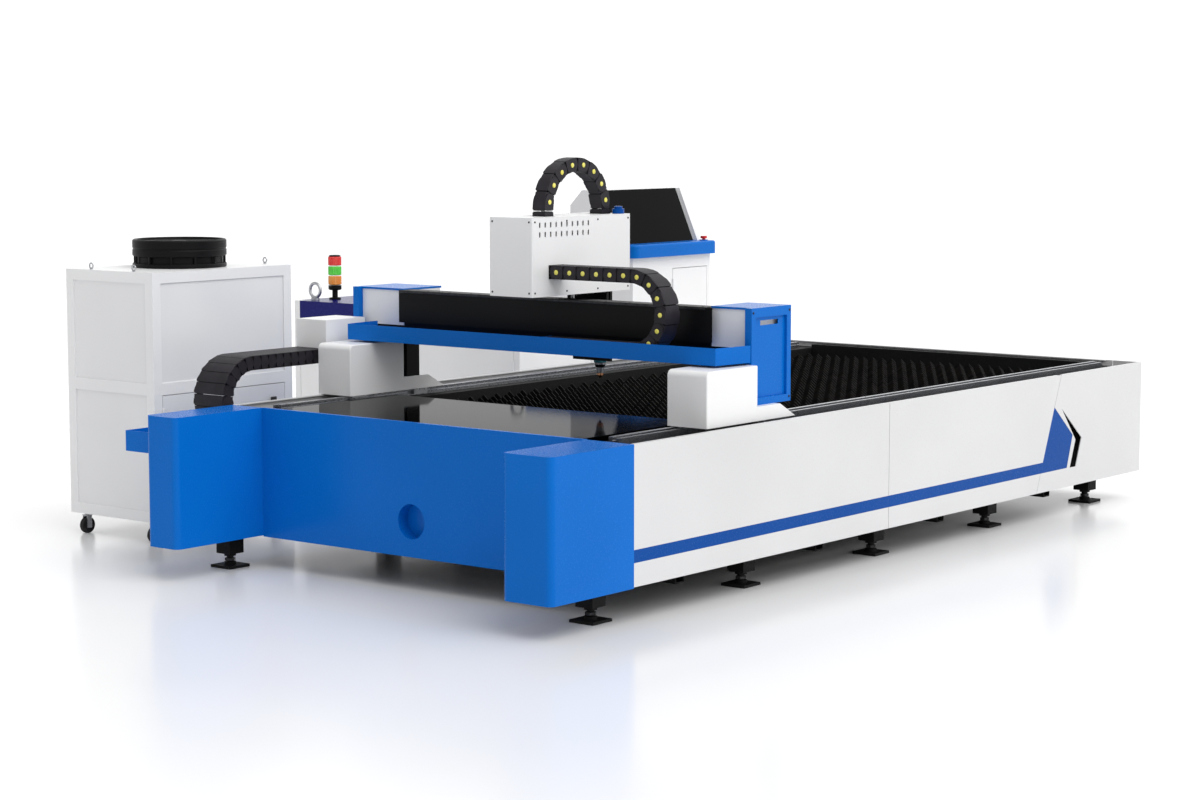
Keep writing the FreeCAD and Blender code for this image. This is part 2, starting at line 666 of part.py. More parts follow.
def slats():
    inner = MACHINE_AXIS + SIDE_BEAM_OFFSET - 1.0
    left = 2 * MACHINE_AXIS - inner
    low = SLAT_TOP - SLAT_HEIGHT
    valley = SLAT_TOP - SLAT_TOOTH_H
    count = int((inner - left - 60.0) // SLAT_TOOTH)
    start = MACHINE_AXIS - count * SLAT_TOOTH / 2.0
    points = [(left, low), (inner, low), (inner, valley - 14.0), (inner - 25.0, valley - 14.0)]
    for i in reversed(range(count)):
        x = start + i * SLAT_TOOTH
        points += [(x + SLAT_TOOTH, valley), (x + SLAT_TOOTH / 2.0 + 2.0, SLAT_TOP),
                   (x + SLAT_TOOTH / 2.0 - 2.0, SLAT_TOP)]
    points += [(start, valley), (left + 25.0, valley - 14.0), (left, valley - 14.0)]
    solids = [prism_y(points, slat_y(i) - SLAT_T / 2.0, slat_y(i) + SLAT_T / 2.0)
              for i in range(SLAT_COUNT)]
    save("slats", solids)


def bins_and_deck():
    inner = MACHINE_AXIS + SIDE_BEAM_OFFSET - 60.0
    left = 2 * MACHINE_AXIS - inner
    first = FRONT_PLANE + PANEL_T + END_TUBE_DEPTH + 60.0
    last = BED_LENGTH - PANEL_T - END_TUBE_DEPTH - 60.0
    length = (last - first) / BIN_COUNT
    solids = [tray(left, inner, first + i * length + 10.0, first + (i + 1) * length - 10.0,
                   PANEL_BOTTOM, PANEL_BOTTOM + BIN_HEIGHT, SHEET) for i in range(BIN_COUNT)]
    save("scrap_bins", solids)

    edge = MACHINE_AXIS + SIDE_BEAM_OFFSET - 2.0
    save("front_deck", [box(2 * MACHINE_AXIS - edge, edge, FRONT_PLANE + PANEL_T + FLANGE + 2.0,
                            DECK_REAR_Y, DECK_TOP - DECK_T, DECK_TOP)])


def chain_tray():
    body = tray(TRAY_LEFT, TRAY_RIGHT, TRAY_FRONT, TRAY_REAR,
                BED_CHAIN_LOW - BED_CHAIN_T / 2.0 - SHEET, TRAY_TOP, SHEET)
    lug = box(BED_CHAIN_X - BED_CHAIN_WIDTH / 2.0, BED_CHAIN_X + BED_CHAIN_WIDTH / 2.0,
              BED_CHAIN_FIXED_Y, BED_CHAIN_FIXED_Y + 8.0,
              BED_CHAIN_LOW - BED_CHAIN_T / 2.0, BED_CHAIN_LOW + BED_CHAIN_T / 2.0)
    arms = [box(TRAY_RIGHT, 0, y, y + 50.0, TRAY_TOP - 60.0, TRAY_TOP - 54.0)
            for y in (CORNER_BOX_DEPTH + 100.0, 1300.0, 2000.0, TRAY_REAR - 120.0)]
    save("chain_tray", [fuse([body, lug] + arms)])


# ---------------------------------------------------------------- gantry
def foot_cover():
    x0, x1 = MACHINE_AXIS + FOOT_COVER_INNER, MACHINE_AXIS + FOOT_COVER_OUTER
    outer = prism_x([(FOOT_COVER_FRONT, FOOT_COVER_BOTTOM), (FOOT_COVER_FRONT, FOOT_COVER_TOP),
                     (FOOT_STEP_Y, FOOT_COVER_TOP), (FOOT_STEP_Y, FOOT_STEP_Z),
                     (FOOT_SLANT_Y, FOOT_STEP_Z), (FOOT_REAR_Y, FOOT_COVER_BOTTOM)], x0, x1)
    outer = rounded(outer, FOOT_ROUND, 0, [(FOOT_COVER_FRONT, FOOT_COVER_TOP)])
    outer = rounded(outer, HEAD_ROUND, 2, [(x0, FOOT_COVER_FRONT), (x1, FOOT_COVER_FRONT)])
    t = SHEET
    inside = prism_x([(FOOT_COVER_FRONT + t, FOOT_COVER_BOTTOM - 1), (FOOT_COVER_FRONT + t, FOOT_COVER_TOP - 30.0),
                      (FOOT_COVER_FRONT + 30.0, FOOT_COVER_TOP - t), (FOOT_STEP_Y - t, FOOT_COVER_TOP - t),
                      (FOOT_STEP_Y - t, FOOT_STEP_Z - t), (FOOT_SLANT_Y - t, FOOT_STEP_Z - t),
                      (FOOT_REAR_Y - 3 * t, FOOT_COVER_BOTTOM - 1)], x0 + t, x1 - t)
    well = box(MACHINE_AXIS + FOOT_COVER_INNER + 8.0, MACHINE_AXIS + PINION_OFFSET + MOTOR / 2.0 + 2.0,
               BEAM_FRONT - 2.0, FOOT_PLATE_REAR, FOOT_PLATE_Z, FOOT_STEP_Z + 1)
    return outer.cut(inside).cut(well)


def gantry_leg():
    x0, x1 = MACHINE_AXIS + FOOT_COVER_INNER + SHEET, MACHINE_AXIS + FOOT_COVER_OUTER - SHEET
    z = FOOT_PLATE_Z
    plate = box(x0, x1, FOOT_COVER_FRONT + 10.0, FOOT_PLATE_REAR - 4.0, z, z + FOOT_PLATE_T)
    plate = plate.cut(box(x0 + 150.0, x1 + 1, FOOT_PLATE_REAR - 60.0, FOOT_PLATE_REAR, z - 1, z + 20.0))
    post = box(x0 + 8.0, BEAM_RIGHT - 4.0, BEAM_FRONT + 1.0, BEAM_FRONT + POST_DEPTH,
               z + FOOT_PLATE_T, BEAM_BOTTOM)
    hole = cylinder((MACHINE_AXIS + PINION_OFFSET, PINION_Y, z - 1), SHAFT_HOLE_R, FOOT_PLATE_T + 2)
    return fuse([plate, post]).cut(hole)


def gantry_beam():
    beam = tube_x(BEAM_LEFT, BEAM_RIGHT, BEAM_FRONT, BEAM_REAR, BEAM_BOTTOM, BEAM_TOP, BEAM_WALL)
    bracket = box(CARRIER_LEFT + 50.0, CARRIER_RIGHT - 5.0, BED_CHAIN_END_Y + 5.0, BED_CHAIN_END_Y + 15.0,
                  BED_TOP - 15.0, BED_CHAIN_HIGH + BED_CHAIN_T / 2.0)
    save("gantry_beam", [beam, bracket] + both_sides(gantry_leg()))

    front = box(COVER_LEFT, COVER_RIGHT, COVER_FRONT, COVER_FRONT + SHEET, COVER_BOTTOM, COVER_TOP)
    top = box(COVER_LEFT, COVER_TOP_RIGHT, COVER_FRONT, COVER_TOP_REAR, COVER_TOP - SHEET, COVER_TOP)
    ribs = [box(x, x + 10.0, COVER_FRONT, BEAM_FRONT, COVER_BOTTOM + 10.0, COVER_TOP - 20.0)
            for x in (COVER_LEFT + 100.0, MACHINE_AXIS, COVER_TOP_RIGHT - 100.0)]
    save("beam_cover", [fuse([front, top] + ribs)])


def gantry_covers():
    boxes = []
    for (x0, x1), mouth in ((LEFT_END_BOX, LEFT_END_BOX[1]), (RIGHT_END_BOX, RIGHT_END_BOX[0])):
        shell = hood(x0, x1, END_BOX_FRONT, END_BOX_REAR, END_BOX_BOTTOM, END_BOX_TOP, SHEET)
        boxes.append(shell.cut(box(mouth - 5.0, mouth + 5.0, BEAM_FRONT, BEAM_REAR + 1.0,
                                   END_BOX_BOTTOM - 1, BEAM_TOP + 1.0)))
    carrier = hood(CARRIER_LEFT, CARRIER_RIGHT, CARRIER_FRONT, CAP_FRONT,
                   BED_CHAIN_HIGH + BED_CHAIN_T / 2.0, CARRIER_TOP, SHEET)
    floor = box(CARRIER_LEFT, CARRIER_RIGHT, CARRIER_FRONT, CAP_FRONT,
                BED_CHAIN_HIGH + BED_CHAIN_T / 2.0, BED_CHAIN_HIGH + BED_CHAIN_T / 2.0 + SHEET)
    save("gantry_covers", both_sides(foot_cover()) + boxes + [fuse([carrier, floor])])


def end_caps():
    solids = []
    for x0, x1, top_from, top_to, inward in (
            (RIGHT_END_BOX[1], RIGHT_END_BOX[1] + CAP_T, RIGHT_END_BOX[0], RIGHT_END_BOX[1] + CAP_T, 1),
            (LEFT_END_BOX[0] - CAP_T, LEFT_END_BOX[0], LEFT_END_BOX[0] - CAP_T, LEFT_END_BOX[1], -1)):
        cap = box(x0, x1, CAP_FRONT, CAP_REAR, CAP_BOTTOM, CAP_TOP)
        y0, y1 = CAP_FRONT + CAP_BORDER, CAP_REAR - CAP_BORDER
        z0, z1 = CAP_BOTTOM + CAP_BORDER, CAP_TOP - CAP_BORDER - 10.0
        if inward > 0:
            recess = box(x1 - CAP_RECESS, x1 + 1, y0, y1, z0, z1)
            cavity = box(x0 - 1, x1 - CAP_RECESS - SHEET, y0, y1, z0, z1)
            slot = box(x0, x1, y0 + 50.0, y1 - 50.0, z1 - 35.0, z1 - 15.0)
        else:
            recess = box(x0 - 1, x0 + CAP_RECESS, y0, y1, z0, z1)
            cavity = box(x0 + CAP_RECESS + SHEET, x1 + 1, y0, y1, z0, z1)
            slot = box(x0, x1, y0 + 50.0, y1 - 50.0, z1 - 35.0, z1 - 15.0)
        top = box(top_from, top_to, END_BOX_FRONT - 5.0, CAP_REAR, END_BOX_TOP, CAP_TOP)
        solids.append(fuse([cap, top]).cut(Part.makeCompound([recess, cavity])).cut(slot))
    save("end_caps", solids)


def chain_shelf():
    outer = [(SHELF_LEFT, SHELF_FRONT), (SHELF_RIGHT, SHELF_FRONT), (SHELF_BACK_RIGHT, CAP_FRONT - 2.0),
             (COVER_TOP_RIGHT, CAP_FRONT - 2.0), (COVER_TOP_RIGHT, BEAM_FRONT),
             (COVER_LEFT, BEAM_FRONT), (COVER_LEFT, CAP_FRONT - 2.0), (SHELF_BACK_LEFT, CAP_FRONT - 2.0)]
    inside = [(SHELF_LEFT + SHEET, SHELF_FRONT + SHEET), (SHELF_RIGHT - SHEET, SHELF_FRONT + SHEET),
              (SHELF_BACK_RIGHT - SHEET, CAP_FRONT), (COVER_TOP_RIGHT, CAP_FRONT),
              (COVER_TOP_RIGHT, BEAM_FRONT + 1), (COVER_LEFT - 1, BEAM_FRONT + 1),
              (COVER_LEFT - 1, CAP_FRONT), (SHELF_BACK_LEFT + SHEET, CAP_FRONT)]
    trough = prism_z(outer, BEAM_BOTTOM, SHELF_TOP).cut(prism_z(inside, BEAM_BOTTOM + SHEET, SHELF_TOP + 1))
    back_lip = box(COVER_LEFT, COVER_TOP_RIGHT, BEAM_FRONT - SHEET, BEAM_FRONT, BEAM_BOTTOM, BEAM_BOTTOM + 40.0)
    half = GANTRY_CHAIN_WIDTH / 2.0
    lug = box(GANTRY_CHAIN_FIXED_X - 8.0, GANTRY_CHAIN_FIXED_X, GANTRY_CHAIN_Y - half, GANTRY_CHAIN_Y + half,
              BEAM_BOTTOM, GANTRY_CHAIN_LOW + GANTRY_CHAIN_T / 2.0)
    save("chain_shelf", [fuse([trough, back_lip, lug])])


def gantry_running_gear():
    x = MACHINE_AXIS + RAIL_OFFSET
    channel = RAIL_WIDTH / 2.0 + RUN_CLEARANCE
    solids = []
    for y in BLOCK_FRONT_Y:
        block = box(x - BLOCK_WIDTH / 2.0, x + BLOCK_WIDTH / 2.0, y, y + BLOCK_LENGTH,
                    SIDE_BEAM_TOP + 6.0, FOOT_PLATE_Z)
        block = block.cut(box(x - channel, x + channel, y - 1, y + BLOCK_LENGTH + 1,
                              SIDE_BEAM_TOP, SIDE_BEAM_TOP + RAIL_HEIGHT + RUN_CLEARANCE))
        solids += both_sides(block)
    save("bearing_blocks", solids)

    px = MACHINE_AXIS + PINION_OFFSET
    z = FOOT_PLATE_Z + FOOT_PLATE_T
    motor = rounded(box(px - MOTOR / 2.0, px + MOTOR / 2.0, PINION_Y - MOTOR / 2.0, PINION_Y + MOTOR / 2.0,
                        z, z + MOTOR_HEIGHT), 6.0, 2,
                    [(px - MOTOR / 2.0, PINION_Y - MOTOR / 2.0), (px + MOTOR / 2.0, PINION_Y - MOTOR / 2.0),
                     (px - MOTOR / 2.0, PINION_Y + MOTOR / 2.0), (px + MOTOR / 2.0, PINION_Y + MOTOR / 2.0)])
    save("drive_motors", both_sides(motor))

    z0 = SIDE_BEAM_TOP + 2.0
    right = pinion(px, PINION_Y, math.pi, z0, z0 + GEAR_WIDTH, z - RUN_CLEARANCE)
    save("pinion_right", [right])
    save("pinion_left", [mirrored(right)])


def beam_rails():
    solids = []
    for z in BEAM_RAIL_Z:
        solids.append(box(BEAM_RAIL_LEFT, BEAM_RAIL_RIGHT, BEAM_REAR, BEAM_REAR + BEAM_RAIL_DEPTH,
                          z - BEAM_RAIL / 2.0, z + BEAM_RAIL / 2.0))
    outline = rack_profile(BEAM_RAIL_LEFT, BEAM_RAIL_RIGHT, CARRIAGE_X, BEAM_RACK_Y, BEAM_RACK_Y + RACK_BODY)
    solids.append(prism_z(outline, BEAM_TOP, BEAM_TOP + BEAM_RACK_H))
    save("beam_rails", solids)


# ---------------------------------------------------------------- carriage
def carriage():
    x0, x1 = HEAD_LEFT + SHEET, HEAD_RIGHT - SHEET
    plate = box(x0 + 6.0, x1 - 6.0, PLATE_Y, PLATE_Y + CARRIAGE_PLATE_T, CARRIAGE_LOW, CARRIAGE_HIGH)
    saddle = box(x0, x1, HEAD_FRONT + SHEET, PLATE_Y + CARRIAGE_PLATE_T, HEAD_BOTTOM, HEAD_BOTTOM + SADDLE_T)
    half = Z_CHAIN_WIDTH / 2.0
    stand = box(Z_CHAIN_X - half, Z_CHAIN_X + half, Z_CHAIN_FRONT - Z_CHAIN_T / 2.0, Z_CHAIN_FRONT - 4.0,
                HEAD_BOTTOM, Z_CHAIN_FIXED_Z)
    body = fuse([plate, saddle, stand])
    body = body.cut(cylinder((CARRIAGE_X, BEAM_PINION_Y, HEAD_BOTTOM - 1), SHAFT_HOLE_R, SADDLE_T + 2))
    solids = [body]

    gap = RUN_CLEARANCE
    for z in BEAM_RAIL_Z:
        for x in (x0 + 12.0, x1 - 12.0 - 70.0):
            block = box(x, x + 70.0, BEAM_REAR + 5.0, PLATE_Y, z - 24.0, z + 24.0)
            solids.append(block.cut(box(x - 1, x + 71.0, BEAM_REAR, BEAM_REAR + BEAM_RAIL_DEPTH + gap,
                                        z - BEAM_RAIL / 2.0 - gap, z + BEAM_RAIL / 2.0 + gap)))
    back = PLATE_Y + CARRIAGE_PLATE_T
    for side in (-1, 1):
        x = CARRIAGE_X + side * Z_RAIL_OFFSET
        solids.append(box(x - Z_RAIL_WIDTH / 2.0, x + Z_RAIL_WIDTH / 2.0, back, back + Z_RAIL_DEPTH,
                          CARRIAGE_LOW + 5.0, CARRIAGE_HIGH - 10.0))
    half = GANTRY_CHAIN_WIDTH / 2.0
    solids.append(box(HEAD_RIGHT, HEAD_RIGHT + GANTRY_CHAIN_TAB, GANTRY_CHAIN_Y - half, GANTRY_CHAIN_Y + half,
                      GANTRY_CHAIN_HIGH - GANTRY_CHAIN_T / 2.0, GANTRY_CHAIN_HIGH + GANTRY_CHAIN_T / 2.0))
    save("carriage_plate", solids)

    z = HEAD_BOTTOM + SADDLE_T
    half = MOTOR / 2.0
    save("carriage_motor", [box(CARRIAGE_X - half, CARRIAGE_X + half, BEAM_PINION_Y - half, BEAM_PINION_Y + half,
                                z, z + MOTOR_HEIGHT)])
    z0 = BEAM_TOP + 2.0
    save("carriage_pinion", [pinion(CARRIAGE_X, BEAM_PINION_Y, -math.pi / 2.0, z0, z0 + GEAR_WIDTH,
                                    z - RUN_CLEARANCE)])


def head_cover():
    x0, x1 = HEAD_LEFT, HEAD_RIGHT
    cover = box(x0, x1, HEAD_FRONT, HEAD_REAR, HEAD_BOTTOM, HEAD_TOP)
    cover = rounded(cover, HEAD_ROUND, 2, [(x0, HEAD_FRONT), (x1, HEAD_FRONT), (x0, HEAD_REAR), (x1, HEAD_REAR)])
    cover = cover.cut(box(x0 + SHEET, x1 - SHEET, HEAD_FRONT + SHEET, HEAD_REAR - SHEET,
                          HEAD_BOTTOM - 1, HEAD_TOP - SHEET))
    half = Z_CHAIN_WIDTH / 2.0 + SLOT_MARGIN
    reach = Z_CHAIN_T / 2.0 + SLOT_MARGIN
    cuts = [box(Z_CHAIN_X - half, Z_CHAIN_X + half, y - reach, y + reach, HEAD_TOP - 5.0, HEAD_TOP + 1)
            for y in (Z_CHAIN_FRONT, Z_CHAIN_REAR)]
    flat = VENT_LENGTH - VENT_WIDTH
    for z in VENT_ROWS_Z:
        for i in range(VENT_COUNT):
            y = VENT_FIRST_Y + i * VENT_PITCH
            cuts.append(box(x1 - 5.0, x1 + 1, y - VENT_WIDTH / 2.0, y + VENT_WIDTH / 2.0,
                            z - flat / 2.0, z + flat / 2.0))
            for end in (-flat / 2.0, flat / 2.0):
                cuts.append(cylinder((x1 - 5.0, y, z + end), VENT_WIDTH / 2.0, 6.0, (1, 0, 0)))
    for cut in cuts:
        cover = cover.cut(cut)
    gland = cylinder((HEAD_RIGHT - 38.0, HEAD_REAR - 40.0, HEAD_TOP), 26.0, 22.0)
    gland = gland.fuse(cylinder((HEAD_RIGHT - 38.0, HEAD_REAR - 40.0, HEAD_TOP + 22.0), 18.0, 10.0))
    save("head_cover", [cover, gland.removeSplitter()])


def z_head():
    y0 = PLATE_Y + CARRIAGE_PLATE_T + Z_PLATE_GAP
    x0, x1 = HEAD_LEFT + 14.0, HEAD_RIGHT - 14.0
    plate = box(x0, x1, y0, y0 + Z_PLATE_T, Z_PLATE_LOW, Z_PLATE_HIGH)
    half = Z_CHAIN_WIDTH / 2.0
    shelf = box(Z_CHAIN_X - half, Z_CHAIN_X + half, y0, Z_CHAIN_REAR + Z_CHAIN_T / 2.0,
                Z_PLATE_HIGH - 20.0, Z_PLATE_HIGH)
    solids = [fuse([plate, shelf])]
    back = PLATE_Y + CARRIAGE_PLATE_T
    gap = RUN_CLEARANCE
    for side in (-1, 1):
        x = CARRIAGE_X + side * Z_RAIL_OFFSET
        for z in (Z_PLATE_LOW + 170.0, Z_PLATE_HIGH - 200.0):
            block = box(x - 18.0, x + 18.0, back + 3.0, y0, z, z + 60.0)
            solids.append(block.cut(box(x - Z_RAIL_WIDTH / 2.0 - gap, x + Z_RAIL_WIDTH / 2.0 + gap, back,
                                        back + Z_RAIL_DEPTH + gap, z - 1, z + 61.0)))
    save("z_plate", solids)

    x, y, tip = CARRIAGE_X, NOZZLE_Y, NOZZLE_TIP
    outline = [(0, 0), (5, 0), (9, 10), (14, 14), (14, 22), (18, 24), (18, 48), (26, 62), (26, 130),
               (HEAD_BODY_R, 136), (HEAD_BODY_R, 330), (28, 336), (28, 430), (16, 436), (16, 470), (0, 470)]
    wire = Part.makePolygon([Vector(x + r, y, tip + h) for r, h in outline + outline[:1]])
    body = Part.Face(wire).revolve(Vector(x, y, 0), Vector(0, 0, 1), 360)
    body = body.cut(cylinder((x, y, tip - 1), 1.2, 30.0))
    clamps = [box(x - 45.0, x + 45.0, y0 + Z_PLATE_T, y + 10.0, z, z + 36.0)
              for z in (tip + 160.0, tip + 280.0)]
    side_box = box(x + 20.0, x + 62.0, y - 24.0, y + 24.0, tip + 205.0, tip + 262.0)
    save("cutting_head", [fuse([body] + clamps + [side_box])])


# ---------------------------------------------------------------- chiller
def chiller():
    x0, x1, y0, y1 = CHILLER_LEFT, CHILLER_RIGHT, CHILLER_FRONT, CHILLER_REAR
    z0, z1, p = CHILLER_BOTTOM, CHILLER_TOP, CHILLER_POST
    mid0, mid1 = CHILLER_MID, CHILLER_MID + CHILLER_MID_H
    solids = [box(x, x + p, y, y + p, z0, z1) for x in (x0, x1 - p) for y in (y0, y1 - p)]
    for z, height in ((z0, p), (mid0, CHILLER_MID_H), (z1 - p, p)):
        for y in (y0, y1 - p):
            solids.append(box(x0 + p, x1 - p, y, y + p, z, z + height))
        for x in (x0, x1 - p):
            solids.append(box(x, x + p, y0 + p, y1 - p, z, z + height))
    inset = (x0 + p, x1 - p, y0 + p, y1 - p)
    roof = box(*inset, z1 - 6.0, z1).cut(cylinder((FAN_X, FAN_Y, z1 - 7.0), FAN_WALL_R - 10.0, 8.0))
    solids += [roof, box(*inset, z0, z0 + 6.0)]
    for x in (x0 + CASTER_INSET, x1 - CASTER_INSET):
        solids.append(rear_caster_bracket(x, y1 - CASTER_INSET))
    save("chiller_frame", solids)

    t, d = 2.0, CHILLER_INSET
    panels = []
    for low, high in ((z0 + p, mid0), (mid1, z1 - p)):
        for y in (y0 + d, y1 - d - t):
            panels.append(box(x0 + p, x1 - p, y, y + t, low, high))
        panels.append(box(x0 + d, x0 + d + t, y0 + p, y1 - p, low, high))
    panels.append(box(x1 - d - t, x1 - d, y0 + p, y1 - p, mid1, z1 - p))
    save("chiller_panels", panels)

    width = y1 - y0 - 2 * p
    leaf = door_leaf(width, z0 + p + DOOR_GAP, mid0 - DOOR_GAP)
    save("chiller_door", [place_door(leaf, x1 + BARREL_R + RUN_CLEARANCE, y0 + p, 90.0)])


def caster_shape(x, y, wheel_y):
    """Plate, king pin and two-legged fork over a wheel whose axle lies along X."""
    half = WHEEL_WIDTH / 2.0
    top = WHEEL_R * 2.0 + 8.0
    cheeks = [box(x + side * (half + 1.5) - (3.0 if side < 0 else 0.0),
                  x + side * (half + 1.5) + (3.0 if side > 0 else 0.0),
                  wheel_y - 14.0, wheel_y + 14.0, WHEEL_R - 12.0, top) for side in (-1, 1)]
    crown = box(x - half - 4.5, x + half + 4.5, min(y, wheel_y) - 18.0, max(y, wheel_y) + 18.0, top, top + 4.0)
    axle = cylinder((x - half - 6.0, wheel_y, WHEEL_R), WHEEL_BORE_R - 0.05, WHEEL_WIDTH + 12.0, (1, 0, 0))
    return fuse(cheeks + [crown, axle])


def rear_caster_bracket(x, y):
    plate = box(x - 34.0, x + 34.0, y - 34.0, y + 34.0, WHEEL_R * 2.0 + 12.0, CHILLER_BOTTOM)
    return fuse([caster_shape(x, y, y), plate])


def chiller_casters():
    for name, x in (("left", CHILLER_LEFT + CASTER_INSET), ("right", CHILLER_RIGHT - CASTER_INSET)):
        y = CHILLER_FRONT + CASTER_INSET
        wheel_y = y - CASTER_TRAIL
        swivel = cylinder((x, y, WHEEL_R * 2.0 + 12.0), 26.0, CHILLER_BOTTOM - WHEEL_R * 2.0 - 12.0 - RUN_CLEARANCE)
        save(f"caster_fork_{name}", [fuse([caster_shape(x, y, wheel_y), swivel])])
        save(f"wheel_front_{name}", [wheel(x, wheel_y)])
    rear_y = CHILLER_REAR - CASTER_INSET
    save("rear_wheels", [wheel(x, rear_y) for x in (CHILLER_LEFT + CASTER_INSET, CHILLER_RIGHT - CASTER_INSET)])


def wheel(x, y):
    half = WHEEL_WIDTH / 2.0
    tyre = cylinder((x - half, y, WHEEL_R), WHEEL_R, WHEEL_WIDTH, (1, 0, 0))
    tyre = tyre.makeFillet(3.0, [e for e in tyre.Edges if abs(e.Length - 2 * math.pi * WHEEL_R) < 1.0])
    return tyre.cut(cylinder((x - half - 1, y, WHEEL_R), WHEEL_BORE_R, WHEEL_WIDTH + 2, (1, 0, 0)))


def fan():
    x, y, z0 = FAN_X, FAN_Y, CHILLER_TOP
    base = cylinder((x, y, z0), FAN_R - 6.0, 6.0).cut(cylinder((x, y, z0 - 1), FAN_WALL_R - 10.0, 8.0))
    wall = cylinder((x, y, z0), FAN_WALL_R, FAN_TOP - z0 - 8.0).cut(
        cylinder((x, y, z0 - 1), FAN_WALL_R - 8.0, FAN_TOP - z0 + 1))
    rim = cylinder((x, y, FAN_TOP - 48.0), FAN_R, 40.0).cut(cylinder((x, y, FAN_TOP - 49.0), FAN_WALL_R - 8.0, 42.0))
    guard_z = FAN_TOP - 14.0
    guard = [cylinder((x, y, guard_z), 30.0, 6.0)]
    for radius in (FAN_WALL_R - 8.0, 150.0, 100.0, 50.0):
        ring = cylinder((x, y, guard_z), radius, 6.0).cut(cylinder((x, y, guard_z - 1), radius - 6.0, 8.0))
        guard.append(ring)
    for i in range(4):
        reach = FAN_WALL_R - 9.0
        spoke = box(-reach, reach, -3.0, 3.0, guard_z, guard_z + 6.0)
        spoke.Placement = Placement(Vector(x, y, 0), Rotation(Vector(0, 0, 1), i * 45.0))
        guard.append(spoke)
    reach = FAN_WALL_R - 9.0
    strut = box(x - reach, x + reach, y - 12.0, y + 12.0, z0 + 10.0, z0 + 16.0)
    motor = cylinder((x, y, z0 + 10.0), 42.0, 32.0)
    save("fan_shroud", [fuse([base, wall, rim]), fuse(guard), fuse([strut, motor])])

    hub_z = z0 + 42.0 + RUN_CLEARANCE
    hub = cylinder((x, y, hub_z), 40.0, 34.0)
    blades = []
    for i in range(FAN_BLADES):
        blade = box(30.0, FAN_WALL_R - 14.0, -26.0, 26.0, -1.5, 1.5)
        turn = Rotation(Vector(0, 0, 1), i * 360.0 / FAN_BLADES)
        pitch = Rotation(Vector(1, 0, 0), 30.0)
        blade.Placement = Placement(Vector(x, y, hub_z + 17.0), turn.multiply(pitch))
        blades.append(blade)
    save("fan_rotor", [fuse([hub] + blades)])


# ---------------------------------------------------------------- laser cabinet
def laser_cabinet():
    x0, x1, y0, y1 = CABINET_LEFT, CABINET_RIGHT, CABINET_FRONT, CABINET_REAR
    z0, z1, p = CABINET_PLINTH, CABINET_BAND, CABINET_POST
    t = SHEET
    solids = [box(x, x + p, y0, y0 + p, z0, CABINET_TOP) for x in (x0, x1 - p)]
    solids += [box(x0 + 40.0, x1 - 40.0, y0 + 40.0, y1 - 40.0, 0, z0),
               box(x0 + p, x1 - p, y0 + p, y1, z0, z0 + 6.0),
               box(x0, x1, y1 - t, y1, z0 + 6.0, z1),
               box(x0, x0 + t, y0 + p, y1 - t, z0, z1),
               box(x1 - t, x1, y0 + p, y1 - t, z0, z1),
               box(x0 + p, x1 - p, y0, y0 + p, z0, z0 + 12.0)]
    save("laser_cabinet", solids)
    cap = hood(x0, x1, y0, y1, z1, CABINET_TOP, t).cut(
        Part.makeCompound([box(x - 1, x + p, y0 - 1, y0 + p, z1 - 1, CABINET_TOP + 1) for x in (x0, x1 - p + 1)]))
    save("cabinet_top", [cap])

    width = (x1 - x0) / 2.0 - p
    low, high = z0 + 12.0 + DOOR_GAP, z1 - DOOR_GAP
    hinge_y = y0 - BARREL_R - RUN_CLEARANCE
    save("cabinet_door_left", [place_door(door_leaf(width, low, high), x0 + p, hinge_y, 0.0)])
    save("cabinet_door_right", [place_door(door_leaf(width, low, high, False), x1 - p, hinge_y, 0.0)])

    x, y, z = TOWER_X, TOWER_Y, CABINET_TOP
    column = [cylinder((x, y, z), 34.0, 10.0), cylinder((x, y, z), 16.0, 60.0), cylinder((x, y, z + 55.0), TOWER_R, 26.0)]
    for i in range(3):
        low = z + 81.0 + i * 55.0
        column.append(cylinder((x, y, low), TOWER_R - 2.0, 4.0))
        column.append(cylinder((x, y, low + 3.0), TOWER_R, 52.0))
    column.append(cylinder((x, y, z + 246.0), TOWER_R - 4.0, 8.0))
    save("tower_light", [fuse(column)])


def lifting_eyes():
    solids = []
    small = [(FAN_X + dx, y, CHILLER_TOP, 12.0, 3.5) for dx in (-147.0, 147.0)
             for y in (CHILLER_FRONT + 25.0, CHILLER_REAR - 25.0)]
    large = [(x, CABINET_FRONT + 80.0, CABINET_TOP, 40.0, 9.0) for x in (CABINET_LEFT + 85.0, CABINET_RIGHT - 85.0)]
    for x, y, z, radius, wire in small + large:
        collar = cylinder((x, y, z), radius * 0.6, radius * 0.35)
        ring = Part.makeTorus(radius, wire, Vector(x, y, z + radius * 0.3 + radius + wire * 0.5), Vector(0, 1, 0))
        solids.append(fuse([collar, ring]))
    save("lifting_eyes", solids)


